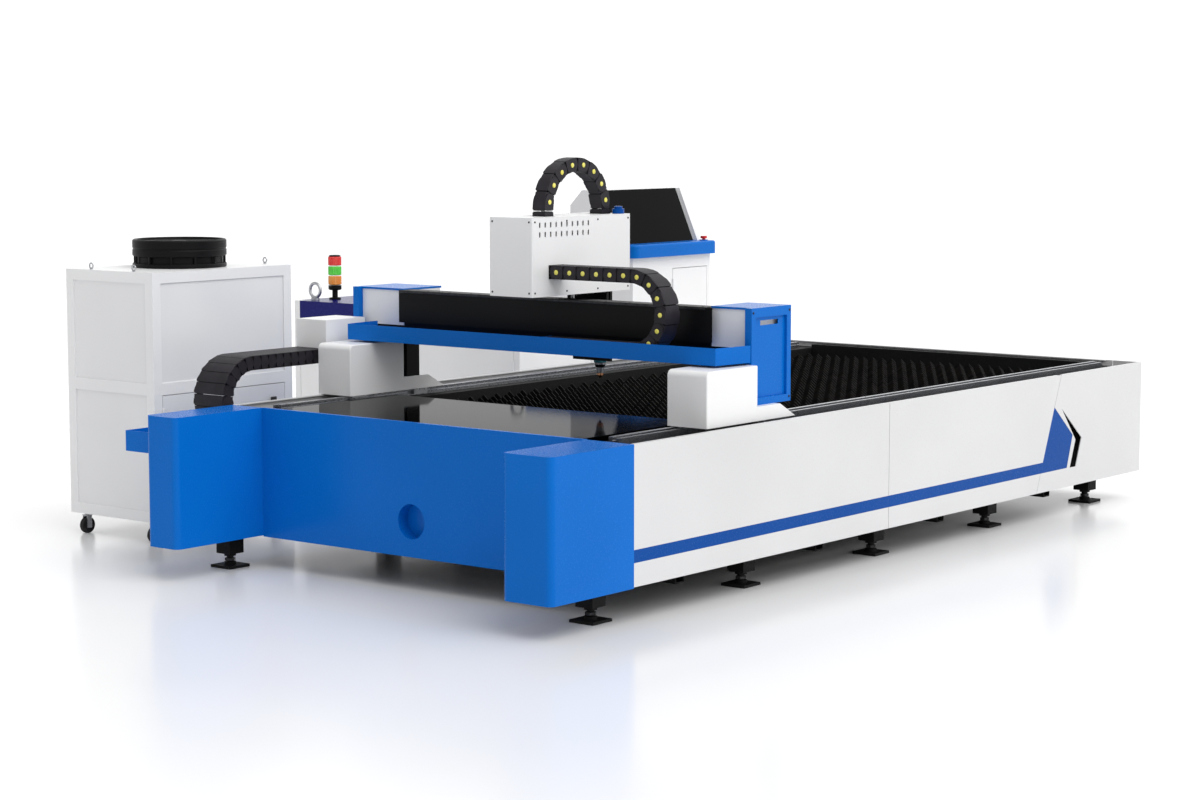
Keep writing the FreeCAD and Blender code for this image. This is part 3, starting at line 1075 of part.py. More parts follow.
# ---------------------------------------------------------------- console
def console():
    x0, x1, y0, y1 = CONSOLE_BACK, CONSOLE_FACE, CONSOLE_NEAR, CONSOLE_FAR
    z1, t, base = CONSOLE_DESK, SHEET, 60.0
    door0, door1 = CONSOLE_DOOR_NEAR, y1 - 30.0
    solids = [box(x0 + 40.0, x1 - 40.0, y0 + 40.0, y1 - 40.0, 0, base),
              box(x0, x1, y0, y1, base, base + t),
              box(x0, x0 + t, y0, y1, base + t, z1),
              box(x0 + t, x1, y0, y0 + t, base + t, z1),
              box(x0 + t, x1, y1 - t, y1, base + t, z1),
              box(x1 - t, x1, y0 + t, door0, base + t, z1),
              box(x1 - t, x1, door1, y1 - t, base + t, z1),
              box(x1 - t, x1, door0, door1, CONSOLE_DOOR_TOP, z1),
              box(x1 - t, x1, door0, door1, base + t, base + 40.0)]
    save("console_body", solids)

    desk = box(x0, DESK_EDGE, DESK_NEAR, DESK_FAR, z1, z1 + DESK_T)
    desk = rounded(desk, 45.0, 2, [(DESK_EDGE, DESK_FAR), (DESK_EDGE, DESK_NEAR)])
    desk = rounded(desk, 14.0, 1, [(DESK_EDGE, z1 + DESK_T)])
    desk = desk.cut(box(x0 + 20.0, DESK_EDGE - 20.0, DESK_NEAR + 50.0, DESK_FAR - 50.0, z1 - 1, z1 + DESK_T - 8.0))
    desk = desk.fuse(box(x0, DESK_EDGE - 30.0, DESK_NEAR + 20.0, DESK_FAR - 20.0, z1, z1 + 4.0))
    top = z1 + DESK_T
    desk = desk.fuse(cylinder((STOP_X, STOP_Y, top), STOP_R + 6.0, 5.0))
    desk = desk.cut(cylinder((STOP_X, STOP_Y, z1 + 10.0), 11.0, DESK_T))
    save("console_desk", [desk.removeSplitter()])

    stop = fuse([cylinder((STOP_X, STOP_Y, top - 20.0), 10.5, 34.0),
                 cylinder((STOP_X, STOP_Y, top + 5.0 + STOP_TRAVEL + 2.0), STOP_R, 14.0)])
    save("emergency_stop", [stop])

    width = door1 - door0
    leaf = door_leaf(width, base + 40.0 + DOOR_GAP, CONSOLE_DOOR_TOP - DOOR_GAP)
    save("console_door", [place_door(leaf, x1 + BARREL_R + RUN_CLEARANCE, door0, 90.0)])

    screen_t = 22.0
    lean = (SCREEN_LOW_X - SCREEN_HIGH_X) / (HOOD_TOP - top)
    outline = [(SCREEN_LOW_X - screen_t, top), (SCREEN_HIGH_X - screen_t, HOOD_TOP), (HOOD_BACK + 90.0, HOOD_TOP),
               (HOOD_BACK, HOOD_TOP - 90.0), (HOOD_BACK, top)]
    shell = prism_y(outline, SCREEN_NEAR - 18.0, HOOD_FAR)
    cheek = prism_y([(SCREEN_LOW_X - screen_t - 1, top), (SCREEN_HIGH_X - screen_t - 1, HOOD_TOP),
                     (SCREEN_HIGH_X + 12.0, HOOD_TOP), (SCREEN_LOW_X + 12.0, top)], SCREEN_FAR + 26.0, HOOD_FAR)
    inside = prism_y([(SCREEN_LOW_X - screen_t - 4.0, top + 4.0), (SCREEN_HIGH_X - screen_t - 4.0, HOOD_TOP - 4.0),
                      (HOOD_BACK + 92.0, HOOD_TOP - 4.0), (HOOD_BACK + 4.0, HOOD_TOP - 92.0),
                      (HOOD_BACK + 4.0, top + 4.0)], SCREEN_NEAR - 14.0, HOOD_FAR - 4.0)
    save("monitor_hood", [fuse([shell, cheek]).cut(inside)])
    glass = prism_y([(SCREEN_LOW_X - screen_t, top), (SCREEN_HIGH_X - screen_t, HOOD_TOP),
                     (SCREEN_HIGH_X, HOOD_TOP), (SCREEN_LOW_X, top)], SCREEN_NEAR, SCREEN_FAR)
    save("screen", [glass])


# ---------------------------------------------------------------- whole machine
def main():
    os.makedirs("parts", exist_ok=True)
    bed_frame()
    levelling_feet()
    front_panel()
    corner_boxes()
    bed_panels()
    rails_and_racks()
    slats()
    bins_and_deck()
    chain_tray()
    gantry_beam()
    gantry_covers()
    end_caps()
    chain_shelf()
    gantry_running_gear()
    beam_rails()
    carriage()
    head_cover()
    z_head()
    chiller()
    chiller_casters()
    fan()
    laser_cabinet()
    lifting_eyes()
    console()
    drag_chain("bed_chain", (BED_CHAIN_X, BED_CHAIN_BEND_Y, (BED_CHAIN_LOW + BED_CHAIN_HIGH) / 2.0),
               (0, 1, 0), (0, 0, 1), (BED_CHAIN_HIGH - BED_CHAIN_LOW) / 2.0, BED_CHAIN_WIDTH, BED_CHAIN_T,
               BED_CHAIN_FIXED_Y - BED_CHAIN_BEND_Y, BED_CHAIN_END_Y - BED_CHAIN_BEND_Y)
    drag_chain("gantry_chain", (GANTRY_CHAIN_BEND_X, GANTRY_CHAIN_Y, (GANTRY_CHAIN_LOW + GANTRY_CHAIN_HIGH) / 2.0),
               (-1, 0, 0), (0, 0, 1), (GANTRY_CHAIN_HIGH - GANTRY_CHAIN_LOW) / 2.0,
               GANTRY_CHAIN_WIDTH, GANTRY_CHAIN_T, GANTRY_CHAIN_BEND_X - GANTRY_CHAIN_FIXED_X,
               GANTRY_CHAIN_BEND_X - HEAD_RIGHT - GANTRY_CHAIN_TAB)
    drag_chain("z_chain", (Z_CHAIN_X, (Z_CHAIN_FRONT + Z_CHAIN_REAR) / 2.0, Z_CHAIN_BEND_Z),
               (0, 0, -1), (0, 1, 0), (Z_CHAIN_REAR - Z_CHAIN_FRONT) / 2.0, Z_CHAIN_WIDTH, Z_CHAIN_T,
               Z_CHAIN_BEND_Z - Z_CHAIN_FIXED_Z, Z_CHAIN_BEND_Z - Z_PLATE_HIGH)


main()
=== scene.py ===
# %% [markdown]
# # A fiber laser cutting machine
# The CAD frame holds every bed part, cover, rail and joint at its real size. This lesson
# paints those parts, and adds what a maker would still bolt on: drag-chain links, screws,
# lamp lenses, the fan's guard and blades, latches, locks, louvres and the head's gland. New
# shapes are surfaces worked out with numpy, put into meshes as whole arrays.

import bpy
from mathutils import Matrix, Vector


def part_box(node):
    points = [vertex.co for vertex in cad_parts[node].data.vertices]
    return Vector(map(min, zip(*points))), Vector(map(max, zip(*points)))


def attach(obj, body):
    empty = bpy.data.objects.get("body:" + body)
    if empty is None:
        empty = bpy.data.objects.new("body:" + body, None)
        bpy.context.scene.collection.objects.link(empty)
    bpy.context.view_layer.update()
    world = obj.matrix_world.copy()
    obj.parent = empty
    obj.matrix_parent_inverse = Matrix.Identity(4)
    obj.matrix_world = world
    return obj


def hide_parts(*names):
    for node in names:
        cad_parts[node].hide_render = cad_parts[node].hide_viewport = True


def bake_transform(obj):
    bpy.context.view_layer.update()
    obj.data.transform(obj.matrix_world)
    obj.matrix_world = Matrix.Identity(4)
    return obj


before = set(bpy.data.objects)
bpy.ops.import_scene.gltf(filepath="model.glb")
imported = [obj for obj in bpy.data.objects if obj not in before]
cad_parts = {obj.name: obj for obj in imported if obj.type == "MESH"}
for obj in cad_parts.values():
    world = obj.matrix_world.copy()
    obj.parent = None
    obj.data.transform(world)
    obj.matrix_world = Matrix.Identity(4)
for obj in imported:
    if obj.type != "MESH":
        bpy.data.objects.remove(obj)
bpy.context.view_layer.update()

# %% Libraries
import math

import bpy
import numpy as np
from mathutils import Vector

# %% [markdown]
# ## The camera
# It stands off the machine's front right corner, a little above the gantry, with a long
# lens, so that the bed's long side runs away from the eye with little distortion.

# %% Camera
EYE = (8.3068, -10.1563, 1.9736)
EYE_TURN = (math.radians(83.742), 0.0, math.radians(38.31))
LENS_MM = 78.07

camera = bpy.data.objects.new("camera", bpy.data.cameras.new("camera"))
camera.location = EYE
camera.rotation_euler = EYE_TURN
camera.data.lens = LENS_MM
camera.data.sensor_width = 36.0
camera.data.clip_end = 100.0
bpy.context.scene.collection.objects.link(camera)
bpy.context.scene.camera = camera
print("camera at", EYE, "lens", LENS_MM)

# %% [markdown]
# ## Paint
# Powder coat and wet gloss paint are one recipe with other numbers: a base colour that
# drifts a little from place to place, a roughness that follows a fine noise, and a very
# shallow bump for the orange peel that every sprayed panel has. The pattern reads Object
# coordinates, which are metres here, so its grain keeps its real size on every part.


# %% Node helpers
def new_material(name):
    """An empty node material with one shader wired to its output."""
    material = bpy.data.materials.new(name)
    material.use_nodes = True
    tree = material.node_tree
    tree.nodes.clear()
    output = tree.nodes.new("ShaderNodeOutputMaterial")
    shader = tree.nodes.new("ShaderNodeBsdfPrincipled")
    tree.links.new(shader.outputs["BSDF"], output.inputs["Surface"])
    return material, tree, shader


def noise(tree, scale, detail=3.0, stretch=(1.0, 1.0, 1.0)):
    """Noise over Object coordinates, scale in cells a metre, stretched along an axis."""
    place = tree.nodes.new("ShaderNodeTexCoord")
    mapping = tree.nodes.new("ShaderNodeMapping")
    mapping.inputs["Scale"].default_value = stretch
    texture = tree.nodes.new("ShaderNodeTexNoise")
    texture.inputs["Scale"].default_value = scale
    texture.inputs["Detail"].default_value = detail
    tree.links.new(place.outputs["Object"], mapping.inputs["Vector"])
    tree.links.new(mapping.outputs["Vector"], texture.inputs["Vector"])
    return texture.outputs["Fac"]


def spread(tree, value, low, high):
    """Maps a noise value from 0.3..0.7, where most of it lies, to low..high."""
    node = tree.nodes.new("ShaderNodeMapRange")
    node.inputs["From Min"].default_value = 0.3
    node.inputs["From Max"].default_value = 0.7
    node.inputs["To Min"].default_value = low
    node.inputs["To Max"].default_value = high
    tree.links.new(value, node.inputs["Value"])
    return node.outputs["Result"]


def two_tone(tree, value, dark, light):
    """Colour between two tones: dark up to a value of 0.3, light from 0.7, mixed between."""
    ramp = tree.nodes.new("ShaderNodeValToRGB")
    ramp.color_ramp.elements[0].position = 0.3
    ramp.color_ramp.elements[0].color = (*dark, 1.0)
    ramp.color_ramp.elements[1].position = 0.7
    ramp.color_ramp.elements[1].color = (*light, 1.0)
    tree.links.new(value, ramp.inputs["Fac"])
    return ramp.outputs["Color"]


def bump(tree, shader, height, depth_m):
    """Shallow relief: a height of 1 stands depth_m metres over a height of 0."""
    node = tree.nodes.new("ShaderNodeBump")
    node.inputs["Strength"].default_value = 1.0
    node.inputs["Distance"].default_value = depth_m
    tree.links.new(height, node.inputs["Height"])
    tree.links.new(node.outputs["Normal"], shader.inputs["Normal"])


# %% Finishes
def coated(name, dark, light, rough, peel_scale, peel_depth, gloss=0.5, coat=0.0, metal=0.0, drift=1.5,
           stretch=(1.0, 1.0, 1.0), edge=1.0):
    """A sprayed, moulded or ground finish: colour drifts from dark to light over drift cells a
    metre, and one finer noise sets both the roughness, within rough, and the grain's relief."""
    material, tree, shader = new_material(name)
    broad = noise(tree, drift, 2.0)
    tree.links.new(two_tone(tree, broad, dark, light), shader.inputs["Base Color"])
    fine = noise(tree, peel_scale, 3.0, stretch)
    tree.links.new(spread(tree, fine, *rough), shader.inputs["Roughness"])
    bump(tree, shader, fine, peel_depth)
    shader.inputs["Metallic"].default_value = metal
    shader.inputs["Specular IOR Level"].default_value = gloss
    shader.inputs["Specular Tint"].default_value = (edge, edge, edge, 1.0)
    shader.inputs["Coat Weight"].default_value = coat
    shader.inputs["Coat Roughness"].default_value = 0.06
    return material


# White paint, its tone raised as painted light so the sides of the covers, chiller, cabinet and console read
# bright.
WHITE = coated("white_powder_coat_painted_light", (0.84, 0.84, 0.845), (0.88, 0.88, 0.885), (0.30, 0.42), 260.0,
               0.00006, 0.4)
# The same white paint, its tone lowered as painted shade for the bed's long panels.
BED_WHITE_PAINTED_SHADE = coated("white_paint_bed_painted_shade", (0.645, 0.645, 0.65), (0.685, 0.685, 0.69), (0.26, 0.36), 200.0,
                   0.00005, 0.4)
PANEL_GREY = coated("light_grey_panel", (0.80, 0.80, 0.81), (0.845, 0.845, 0.85), (0.16, 0.24), 120.0,
                    0.00003, 0.5)
BLUE = coated("blue_gloss_paint", (0.001, 0.133, 0.525), (0.002, 0.148, 0.575), (0.20, 0.30), 180.0,
              0.00004, 0.10)
STRIPE_BLUE = coated("stripe_blue_vinyl", (0.001, 0.060, 0.290), (0.002, 0.068, 0.320), (0.20, 0.30), 180.0,
                     0.00003, 0.08)
NAVY = coated("navy_gloss_paint", (0.004, 0.005, 0.120), (0.006, 0.008, 0.150), (0.22, 0.32), 180.0,
              0.00004, 0.2)
BLACK = coated("black_satin_paint", (0.0025, 0.0025, 0.003), (0.005, 0.005, 0.0055), (0.36, 0.48), 240.0,
               0.00006, 0.14)
BED_BLACK = coated("bed_black_paint", (0.003, 0.003, 0.003), (0.007, 0.007, 0.007), (0.55, 0.75), 90.0,
                   0.0002, 0.2)
SLAT = coated("burnt_slat_steel", (0.004, 0.0038, 0.0037), (0.014, 0.012, 0.011), (0.50, 0.75), 60.0,
              0.0003, 0.2, metal=0.3, drift=9.0)
GROUND = coated("ground_rail_steel", (0.33, 0.34, 0.36), (0.45, 0.46, 0.48), (0.22, 0.34), 120.0, 0.00005,
                metal=1.0, stretch=(9.0, 0.4, 9.0))
DECK = coated("polished_deck_steel", (0.055, 0.055, 0.058), (0.085, 0.084, 0.085), (0.04, 0.08), 30.0,
              0.00002, metal=1.0, stretch=(0.5, 6.0, 1.0), edge=0.25)
ZINC = coated("zinc_plate", (0.42, 0.43, 0.45), (0.55, 0.56, 0.58), (0.25, 0.40), 90.0, 0.00006, metal=1.0,
              drift=12.0)
ALLOY = coated("anodised_alloy", (0.16, 0.17, 0.19), (0.22, 0.23, 0.25), (0.28, 0.38), 200.0, 0.00004,
               metal=1.0)
MOTOR = coated("motor_black", (0.008, 0.008, 0.009), (0.014, 0.014, 0.016), (0.38, 0.50), 300.0, 0.00010, 0.3)
CHAIN = coated("chain_nylon", (0.012, 0.010, 0.014), (0.020, 0.017, 0.023), (0.45, 0.58), 350.0, 0.00006, 0.3,
               drift=20.0)
PIN = coated("yellow_pin_plastic", (0.80, 0.72, 0.10), (0.88, 0.82, 0.18), (0.30, 0.40), 300.0, 0.00004,
             drift=30.0)
RUBBER = coated("caster_rubber", (0.008, 0.008, 0.008), (0.015, 0.015, 0.015), (0.60, 0.75), 200.0,
                0.0001, 0.3)
SCREEN = coated("screen_black", (0.0015, 0.0015, 0.002), (0.003, 0.003, 0.0035), (0.10, 0.16), 30.0,
                0.00001, 0.05)
RED = coated("red_button_plastic", (0.62, 0.010, 0.010), (0.72, 0.014, 0.012), (0.25, 0.32), 150.0, 0.00004,
             drift=30.0)
COPPER = coated("nozzle_copper", (0.62, 0.30, 0.16), (0.74, 0.38, 0.22), (0.22, 0.34), 150.0, 0.00004,
                metal=1.0, drift=30.0)
TEAL = coated("head_collar_teal", (0.01, 0.10, 0.13), (0.012, 0.13, 0.17), (0.3, 0.4), 200.0, 0.00004,
              metal=0.6)
SCREW = coated("black_oxide_screw", (0.030, 0.030, 0.032), (0.055, 0.055, 0.058), (0.35, 0.50), 250.0, 0.00005,
               metal=0.8, drift=40.0)
print("finishes:", len(bpy.data.materials))

# %% [markdown]
# ## Painting the CAD parts
# Each CAD node keeps its own mesh and gets the finish its real part has, but the one white paint comes in two
# tones: darker on the bed's panels as painted shade, lighter on the covers, chiller, cabinet and console as
# painted light.

# %% Finish of each CAD node
FINISH = {
    "bed_frame": BED_BLACK, "levelling_feet": BED_BLACK, "front_panel": BLUE, "left_corner_box": BLUE,
    "right_corner_box": BLUE, "bed_panels": BED_WHITE_PAINTED_SHADE, "side_stripe": STRIPE_BLUE, "guide_rails": GROUND,
    "gear_racks": GROUND, "slats": SLAT, "scrap_bins": BED_BLACK, "front_deck": DECK, "chain_tray": BLUE,
    "chiller_frame": WHITE, "chiller_panels": PANEL_GREY, "chiller_door": PANEL_GREY, "laser_cabinet": WHITE,
    "cabinet_top": NAVY, "cabinet_door_left": WHITE, "cabinet_door_right": WHITE, "lifting_eyes": ZINC,
    "console_body": WHITE, "console_desk": BLUE, "monitor_hood": WHITE, "screen": SCREEN,
    "console_door": WHITE, "emergency_stop": RED, "gantry_beam": BLACK, "beam_cover": BLACK,
    "gantry_covers": WHITE, "end_caps": BLUE, "chain_shelf": BLUE, "bearing_blocks": ZINC,
    "drive_motors": MOTOR, "beam_rails": GROUND,
    "pinion_left": ZINC, "pinion_right": ZINC, "carriage_plate": BLACK, "head_cover": WHITE,
    "carriage_motor": MOTOR, "carriage_pinion": ZINC, "z_plate": BLACK, "cutting_head": ALLOY,
    "caster_fork_left": ZINC, "caster_fork_right": ZINC, "wheel_front_left": RUBBER,
    "wheel_front_right": RUBBER, "rear_wheels": RUBBER, "fan_shroud": BLACK, "fan_rotor": BLACK,
    "tower_light": WHITE,
}


def paint(obj, material):
    """Puts one finish in place of a node's own."""
    obj.data.materials.clear()
    obj.data.materials.append(material)


for node_name, finish in FINISH.items():
    paint(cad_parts[node_name], finish)
print("painted CAD nodes:", len(FINISH))

# %% [markdown]
# ## From arrays to pieces
# Every new piece goes through one function: it takes an array of points and an array of
# four-cornered faces, fills a mesh, shades it smooth below a crease angle, and rides it on
# its body. Because the points are already in the machine's frame, nothing is moved after.

# %% Piece maker
CREASE = math.radians(32.0)


def make_piece(name, points, faces, materials, body=None, slot=None, face_material=None):
    """points: (n, 3) array; faces: (m, 4) array of indices, where a repeated last index
    means a triangle."""
    mesh = bpy.data.meshes.new(name)
    rows = [list(dict.fromkeys(row)) for row in np.asarray(faces).tolist()]
    mesh.from_pydata(np.asarray(points, float), [], rows)
    for material in materials:
        mesh.materials.append(material)
    if face_material is not None:
        mesh.polygons.foreach_set("material_index", np.asarray(face_material, np.int32))
    mesh.validate()
    mesh.shade_smooth()
    mesh.set_sharp_from_angle(angle=CREASE)
    obj = bpy.data.objects.new(name, mesh)
    bpy.context.scene.collection.objects.link(obj)
    if body:
        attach(obj, body)
    return obj


def grid_faces(rows, columns, wrap=False):
    """Quads between neighbouring rows and columns of a grid of points; wrap joins the
    last column to the first."""
    last = columns if wrap else columns - 1
    r, c = np.meshgrid(np.arange(rows - 1), np.arange(last), indexing="ij")
    d = (c + 1) % columns
    quads = np.stack([r * columns + c, r * columns + d, (r + 1) * columns + d, (r + 1) * columns + c], -1)
    return quads.reshape(-1, 4)


def joined(parts):
    """Several (points, faces) pairs as one pair."""
    offset, points, faces = 0, [], []
    for p, f in parts:
        points.append(p)
        faces.append(f + offset)
        offset += len(p)
    return np.concatenate(points), np.concatenate(faces)


def copies(points, faces, places):
    """One shape at many places: places is (k, 3)."""
    places = np.asarray(places, float)
    all_points = (points[None] + places[:, None]).reshape(-1, 3)
    steps = np.arange(len(places)) * len(points)
    return all_points, (faces[None] + steps[:, None, None]).reshape(-1, 4)


def frame_of(axis):
    """Three unit vectors, the last along axis."""
    w = np.asarray(axis, float)
    w = w / np.linalg.norm(w)
    u = np.cross(w, (0.0, 0.0, 1.0) if abs(w[2]) < 0.9 else (1.0, 0.0, 0.0))
    u = u / np.linalg.norm(u)
    return u, np.cross(w, u), w


# %% Turned shapes
def turned(profile, centre, axis=(0, 0, 1), sides=32):
    """Surface of revolution: a profile of (radius, height) pairs carried round an axis.
    Rows follow the profile and columns the angle; a radius of 0 draws a row's points
    together on the axis."""
    profile = np.asarray(profile, float)
    u, v, w = frame_of(axis)
    angle = np.linspace(0.0, 2 * math.pi, sides, endpoint=False)
    ring = np.cos(angle)[:, None] * u + np.sin(angle)[:, None] * v
    points = profile[:, 0, None, None] * ring[None] + profile[:, 1, None, None] * w
    points = points + np.asarray(centre, float)
    return points.reshape(-1, 3), grid_faces(len(profile), sides, wrap=True)


# %% Rounded blocks
def rounded_block(low, high, radius, steps=3):
    """A box whose corners and edges are parts of one small sphere: the point for angles
    (a, b) is the nearest box corner, moved in by the radius, plus the radius times the
    direction (a, b)."""
    low, high = np.asarray(low, float), np.asarray(high, float)
    quarter = np.linspace(0.0, math.pi / 2, steps + 1)
    around = np.concatenate([quarter + k * math.pi / 2 for k in range(4)])
    side = np.repeat([(1, 1), (-1, 1), (-1, -1), (1, -1)], steps + 1, axis=0)
    up = np.concatenate([quarter - math.pi / 2, quarter])
    half = np.repeat([-1, 1], steps + 1)
    direction = np.stack([np.cos(up)[:, None] * np.cos(around)[None],
                          np.cos(up)[:, None] * np.sin(around)[None],
                          np.repeat(np.sin(up)[:, None], len(around), 1)], -1)
    sign = np.stack([np.repeat(side[None, :, 0], len(up), 0), np.repeat(side[None, :, 1], len(up), 0),
                     np.repeat(half[:, None], len(around), 1)], -1)
    middle, reach = (low + high) / 2, (high - low) / 2 - radius
    points = middle + sign * reach + radius * direction
    faces = grid_faces(len(up), len(around), wrap=True)
    count = len(up) * len(around)
    caps = []
    for row, flip in ((0, True), (len(up) - 1, False)):
        ids = row * len(around) + np.array([0, steps + 1, 2 * (steps + 1), 3 * (steps + 1)])
        caps.append(ids[::-1] if flip else ids)
    return points.reshape(count, 3), np.concatenate([faces, np.array(caps)])


# %% Extruded outlines
def extruded(outline, low, high, axes=(0, 1, 2)):
    """A convex outline of (a, b) pairs, counter-clockwise, carried from low to high along
    the third of the given axes; both ends are closed by a fan round the outline's middle."""
    outline = np.asarray(outline, float)
    n = len(outline)
    points = np.zeros((2 * n + 2, 3))
    for k, level in enumerate((low, high)):
        points[k * n:(k + 1) * n, axes[0]] = outline[:, 0]
        points[k * n:(k + 1) * n, axes[1]] = outline[:, 1]
        points[k * n:(k + 1) * n, axes[2]] = level
        points[2 * n + k, axes[0]], points[2 * n + k, axes[1]] = outline.mean(0)
        points[2 * n + k, axes[2]] = level
    i = np.arange(n)
    j = (i + 1) % n
    walls = np.stack([i, j, j + n, i + n], -1)
    bottom = np.stack([j, i, np.full(n, 2 * n), np.full(n, 2 * n)], -1)
    top = np.stack([i + n, j + n, np.full(n, 2 * n + 1), np.full(n, 2 * n + 1)], -1)
    faces = np.concatenate([walls, bottom, top])
    even = list(axes) in ([0, 1, 2], [1, 2, 0], [2, 0, 1])
    return points, faces if even else faces[:, ::-1]


# %% [markdown]
# ## Drag chains
# A drag chain is a string of nylon links. Each link has two side plates with round ends
# that overlap the next link's, lids across the top and bottom with a narrow gap between
# them, and on two of the chains a pale yellow pin at every pivot. One link is worked out
# once, then laid along the fixed run, round the bend and along the moving run. The bend
# rides on its own body; the two runs stay where they are laid.

# %% One link
def lid_strip(along, level, depth, half):
    """A closed strip across the chain: six edge lines run along it, each cut at the given
    places, so that it can follow the curve of the bend. Its outer corners are chamfered."""
    chamfer = abs(depth) * 0.4
    shoulder = level - np.sign(depth) * chamfer
    ring = np.array([(level, half - chamfer), (level, -half + chamfer), (shoulder, -half),
                     (level - depth, -half), (level - depth, half), (shoulder, half)])
    if depth < 0:
        ring = ring[::-1]
    s, k = np.meshgrid(along, np.arange(len(ring)), indexing="ij")
    points = np.stack([s, ring[k, 0], ring[k, 1]], -1).reshape(-1, 3)
    faces = grid_faces(len(along), len(ring), wrap=True)
    n = len(ring)
    last = (len(along) - 1) * n
    ends = [[3, 2, 1, 0], [5, 4, 3, 0],
            [last, last + 1, last + 2, last + 3], [last, last + 3, last + 4, last + 5]]
    return points, np.concatenate([faces, np.array(ends)])


PIN_HEAD = [(0.0, 0.003), (0.0075, 0.003), (0.0105, 0.0012), (0.0105, -0.002)]


def link_shape(pitch, thickness, width, pins):
    """(points, faces, material index) of a link: s along the chain from 0 to pitch, q
    across its thickness, w across its width. The side plate's outline is a stadium, a
    rectangle with a half round at each end, drawn as an angle swept round two centres."""
    plate, tuck, lid = 0.006, 0.004, 0.005
    round_r = thickness * 0.49
    turn = np.linspace(-math.pi / 2, math.pi / 2, 9)
    front = np.stack([pitch * 0.92 - round_r + round_r * 1.15 * np.cos(turn), round_r * np.sin(turn)], -1)
    back = np.stack([pitch * 0.02 + round_r * 0.2 - round_r * 0.2 * np.cos(turn),
                     -round_r * np.sin(turn)], -1)
    level = np.linspace(1.0, 0.0, 6)[1:-1, None]
    outline = np.concatenate([front, front[-1] * level + back[0] * (1 - level), back,
                              back[-1] * level + front[0] * (1 - level)])
    parts, kind = [], []
    for side in (-1, 1):
        for shift, edge in ((0.0, width / 2), (pitch * 0.5, width / 2 - tuck)):
            shape = outline * ((1.0, 1.0) if shift == 0.0 else (0.6, 0.9)) + (shift, 0.0)
            low, high = (edge - plate, edge) if side > 0 else (-edge, plate - edge)
            parts.append(extruded(shape, low, high))
            kind.append(0)
    along = np.linspace(pitch * 0.02, pitch * 0.97, 5)
    for q in (-1, 1):
        parts.append(lid_strip(along, q * thickness / 2, lid * q, width / 2 - tuck))
        kind.append(0)
    if pins:
        for side in (-1, 1):
            parts.append(turned(PIN_HEAD, (pitch * 0.5, 0.0, side * width / 2), (0, 0, side), 14))
            kind.append(1)
    points, faces = joined(parts)
    index = np.concatenate([np.full(len(f), k) for (_, f), k in zip(parts, kind)])
    return points, faces, index


# %% Laying links along a chain
def lay_links(name, stretch, link, middle, run, across, radius, length):
    """Links of one stretch. On a run, link i starts i pitches from the bend; on the bend,
    it starts i equal angles round it. Runs lie at minus and plus the radius."""
    points, faces, index = link
    run, across = np.asarray(run, float), np.asarray(across, float)
    side = np.cross(run, across)
    s, q, w = points[:, 0], points[:, 1], points[:, 2]
    pitch = length["pitch"]
    count = max(1, round(length[stretch] / pitch))
    step = length[stretch] / count
    i = np.arange(count)[:, None]
    if stretch == "bend":
        angle = math.pi * (i * step + s * step / pitch) / length["bend"]
        reach = radius - q
        along, over = -np.sin(angle) * reach, -np.cos(angle) * reach
    else:
        level = -radius if stretch == "fixed_run" else radius
        along = i * step + s * step / pitch
        over = level + (q if stretch == "fixed_run" else -q)
        along, over = np.broadcast_arrays(along, over)
    laid = (np.asarray(middle, float) + along[..., None] * run + over[..., None] * across
            + np.broadcast_to(w, along.shape)[..., None] * side)
    offsets = (np.arange(count) * len(points))[:, None, None]
    all_faces = (faces[None] + offsets).reshape(-1, 4)
    if stretch == "moving_run":
        all_faces = all_faces[:, ::-1]
    return make_piece(f"{name}_{stretch}_links", laid.reshape(-1, 3), all_faces, [CHAIN, PIN],
                      face_material=np.tile(index, count))


# %% The three chains
CHAINS = (
    ("bed_chain", (0, 1, 0), (0, 0, 1), 0.047, False, ("bed", "bed_chain_curve", "bed_chain_run")),
    ("gantry_chain", (-1, 0, 0), (0, 0, 1), 0.073, True,
     ("gantry", "gantry_chain_curve", "gantry_chain_run")),
    ("z_chain", (0, 0, -1), (0, 1, 0), 0.078, True, ("carriage", "z_chain_curve", "z_chain_run")),
)


def build_chain(name, run, across, pitch, pins, bodies):
    """Reads the chain's sizes from its CAD nodes, then lays its three stretches."""
    p, q = np.asarray(run, float), np.asarray(across, float)
    side = np.cross(p, q)
    ends = {k: [np.array(v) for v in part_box(f"{name}_{k}")] for k in ("fixed_run", "bend", "moving_run")}
    low, high = ends["moving_run"]
    thickness = abs((high - low) @ q)
    width = abs((high - low) @ side)
    fixed_mid, moving_mid = sum(ends["fixed_run"]) / 2, sum(ends["moving_run"]) / 2
    radius = abs((moving_mid - fixed_mid) @ q) / 2
    reach = max((c @ p) for c in ends["bend"])
    middle = (fixed_mid + moving_mid) / 2
    middle = middle + p * (reach - middle @ p)
    length = {"pitch": pitch, "bend": math.pi * radius,
              "fixed_run": abs((ends["fixed_run"][1] - ends["fixed_run"][0]) @ p),
              "moving_run": abs((high - low) @ p)}
    link = link_shape(pitch, thickness, width, pins)
    made = {k: lay_links(name, k, link, middle, run, across, radius, length) for k in ends}
    for k, piece in made.items():
        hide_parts(f"{name}_{k}")
    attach(made["bend"], bodies[1])
    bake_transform(made["fixed_run"])
    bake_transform(made["moving_run"])
    print(name, "radius", round(radius, 4), {k: round(v, 3) for k, v in length.items()})


for chain_row in CHAINS:
    build_chain(*chain_row)

# %% [markdown]
# ## Screws
# Covers and panels are held by button-head screws with a hex socket. One head is a turned
# profile: the flat socket floor, the wall of the recess, and the domed rim. It is copied to
# every hole of a part, so a whole row of screws is one piece.

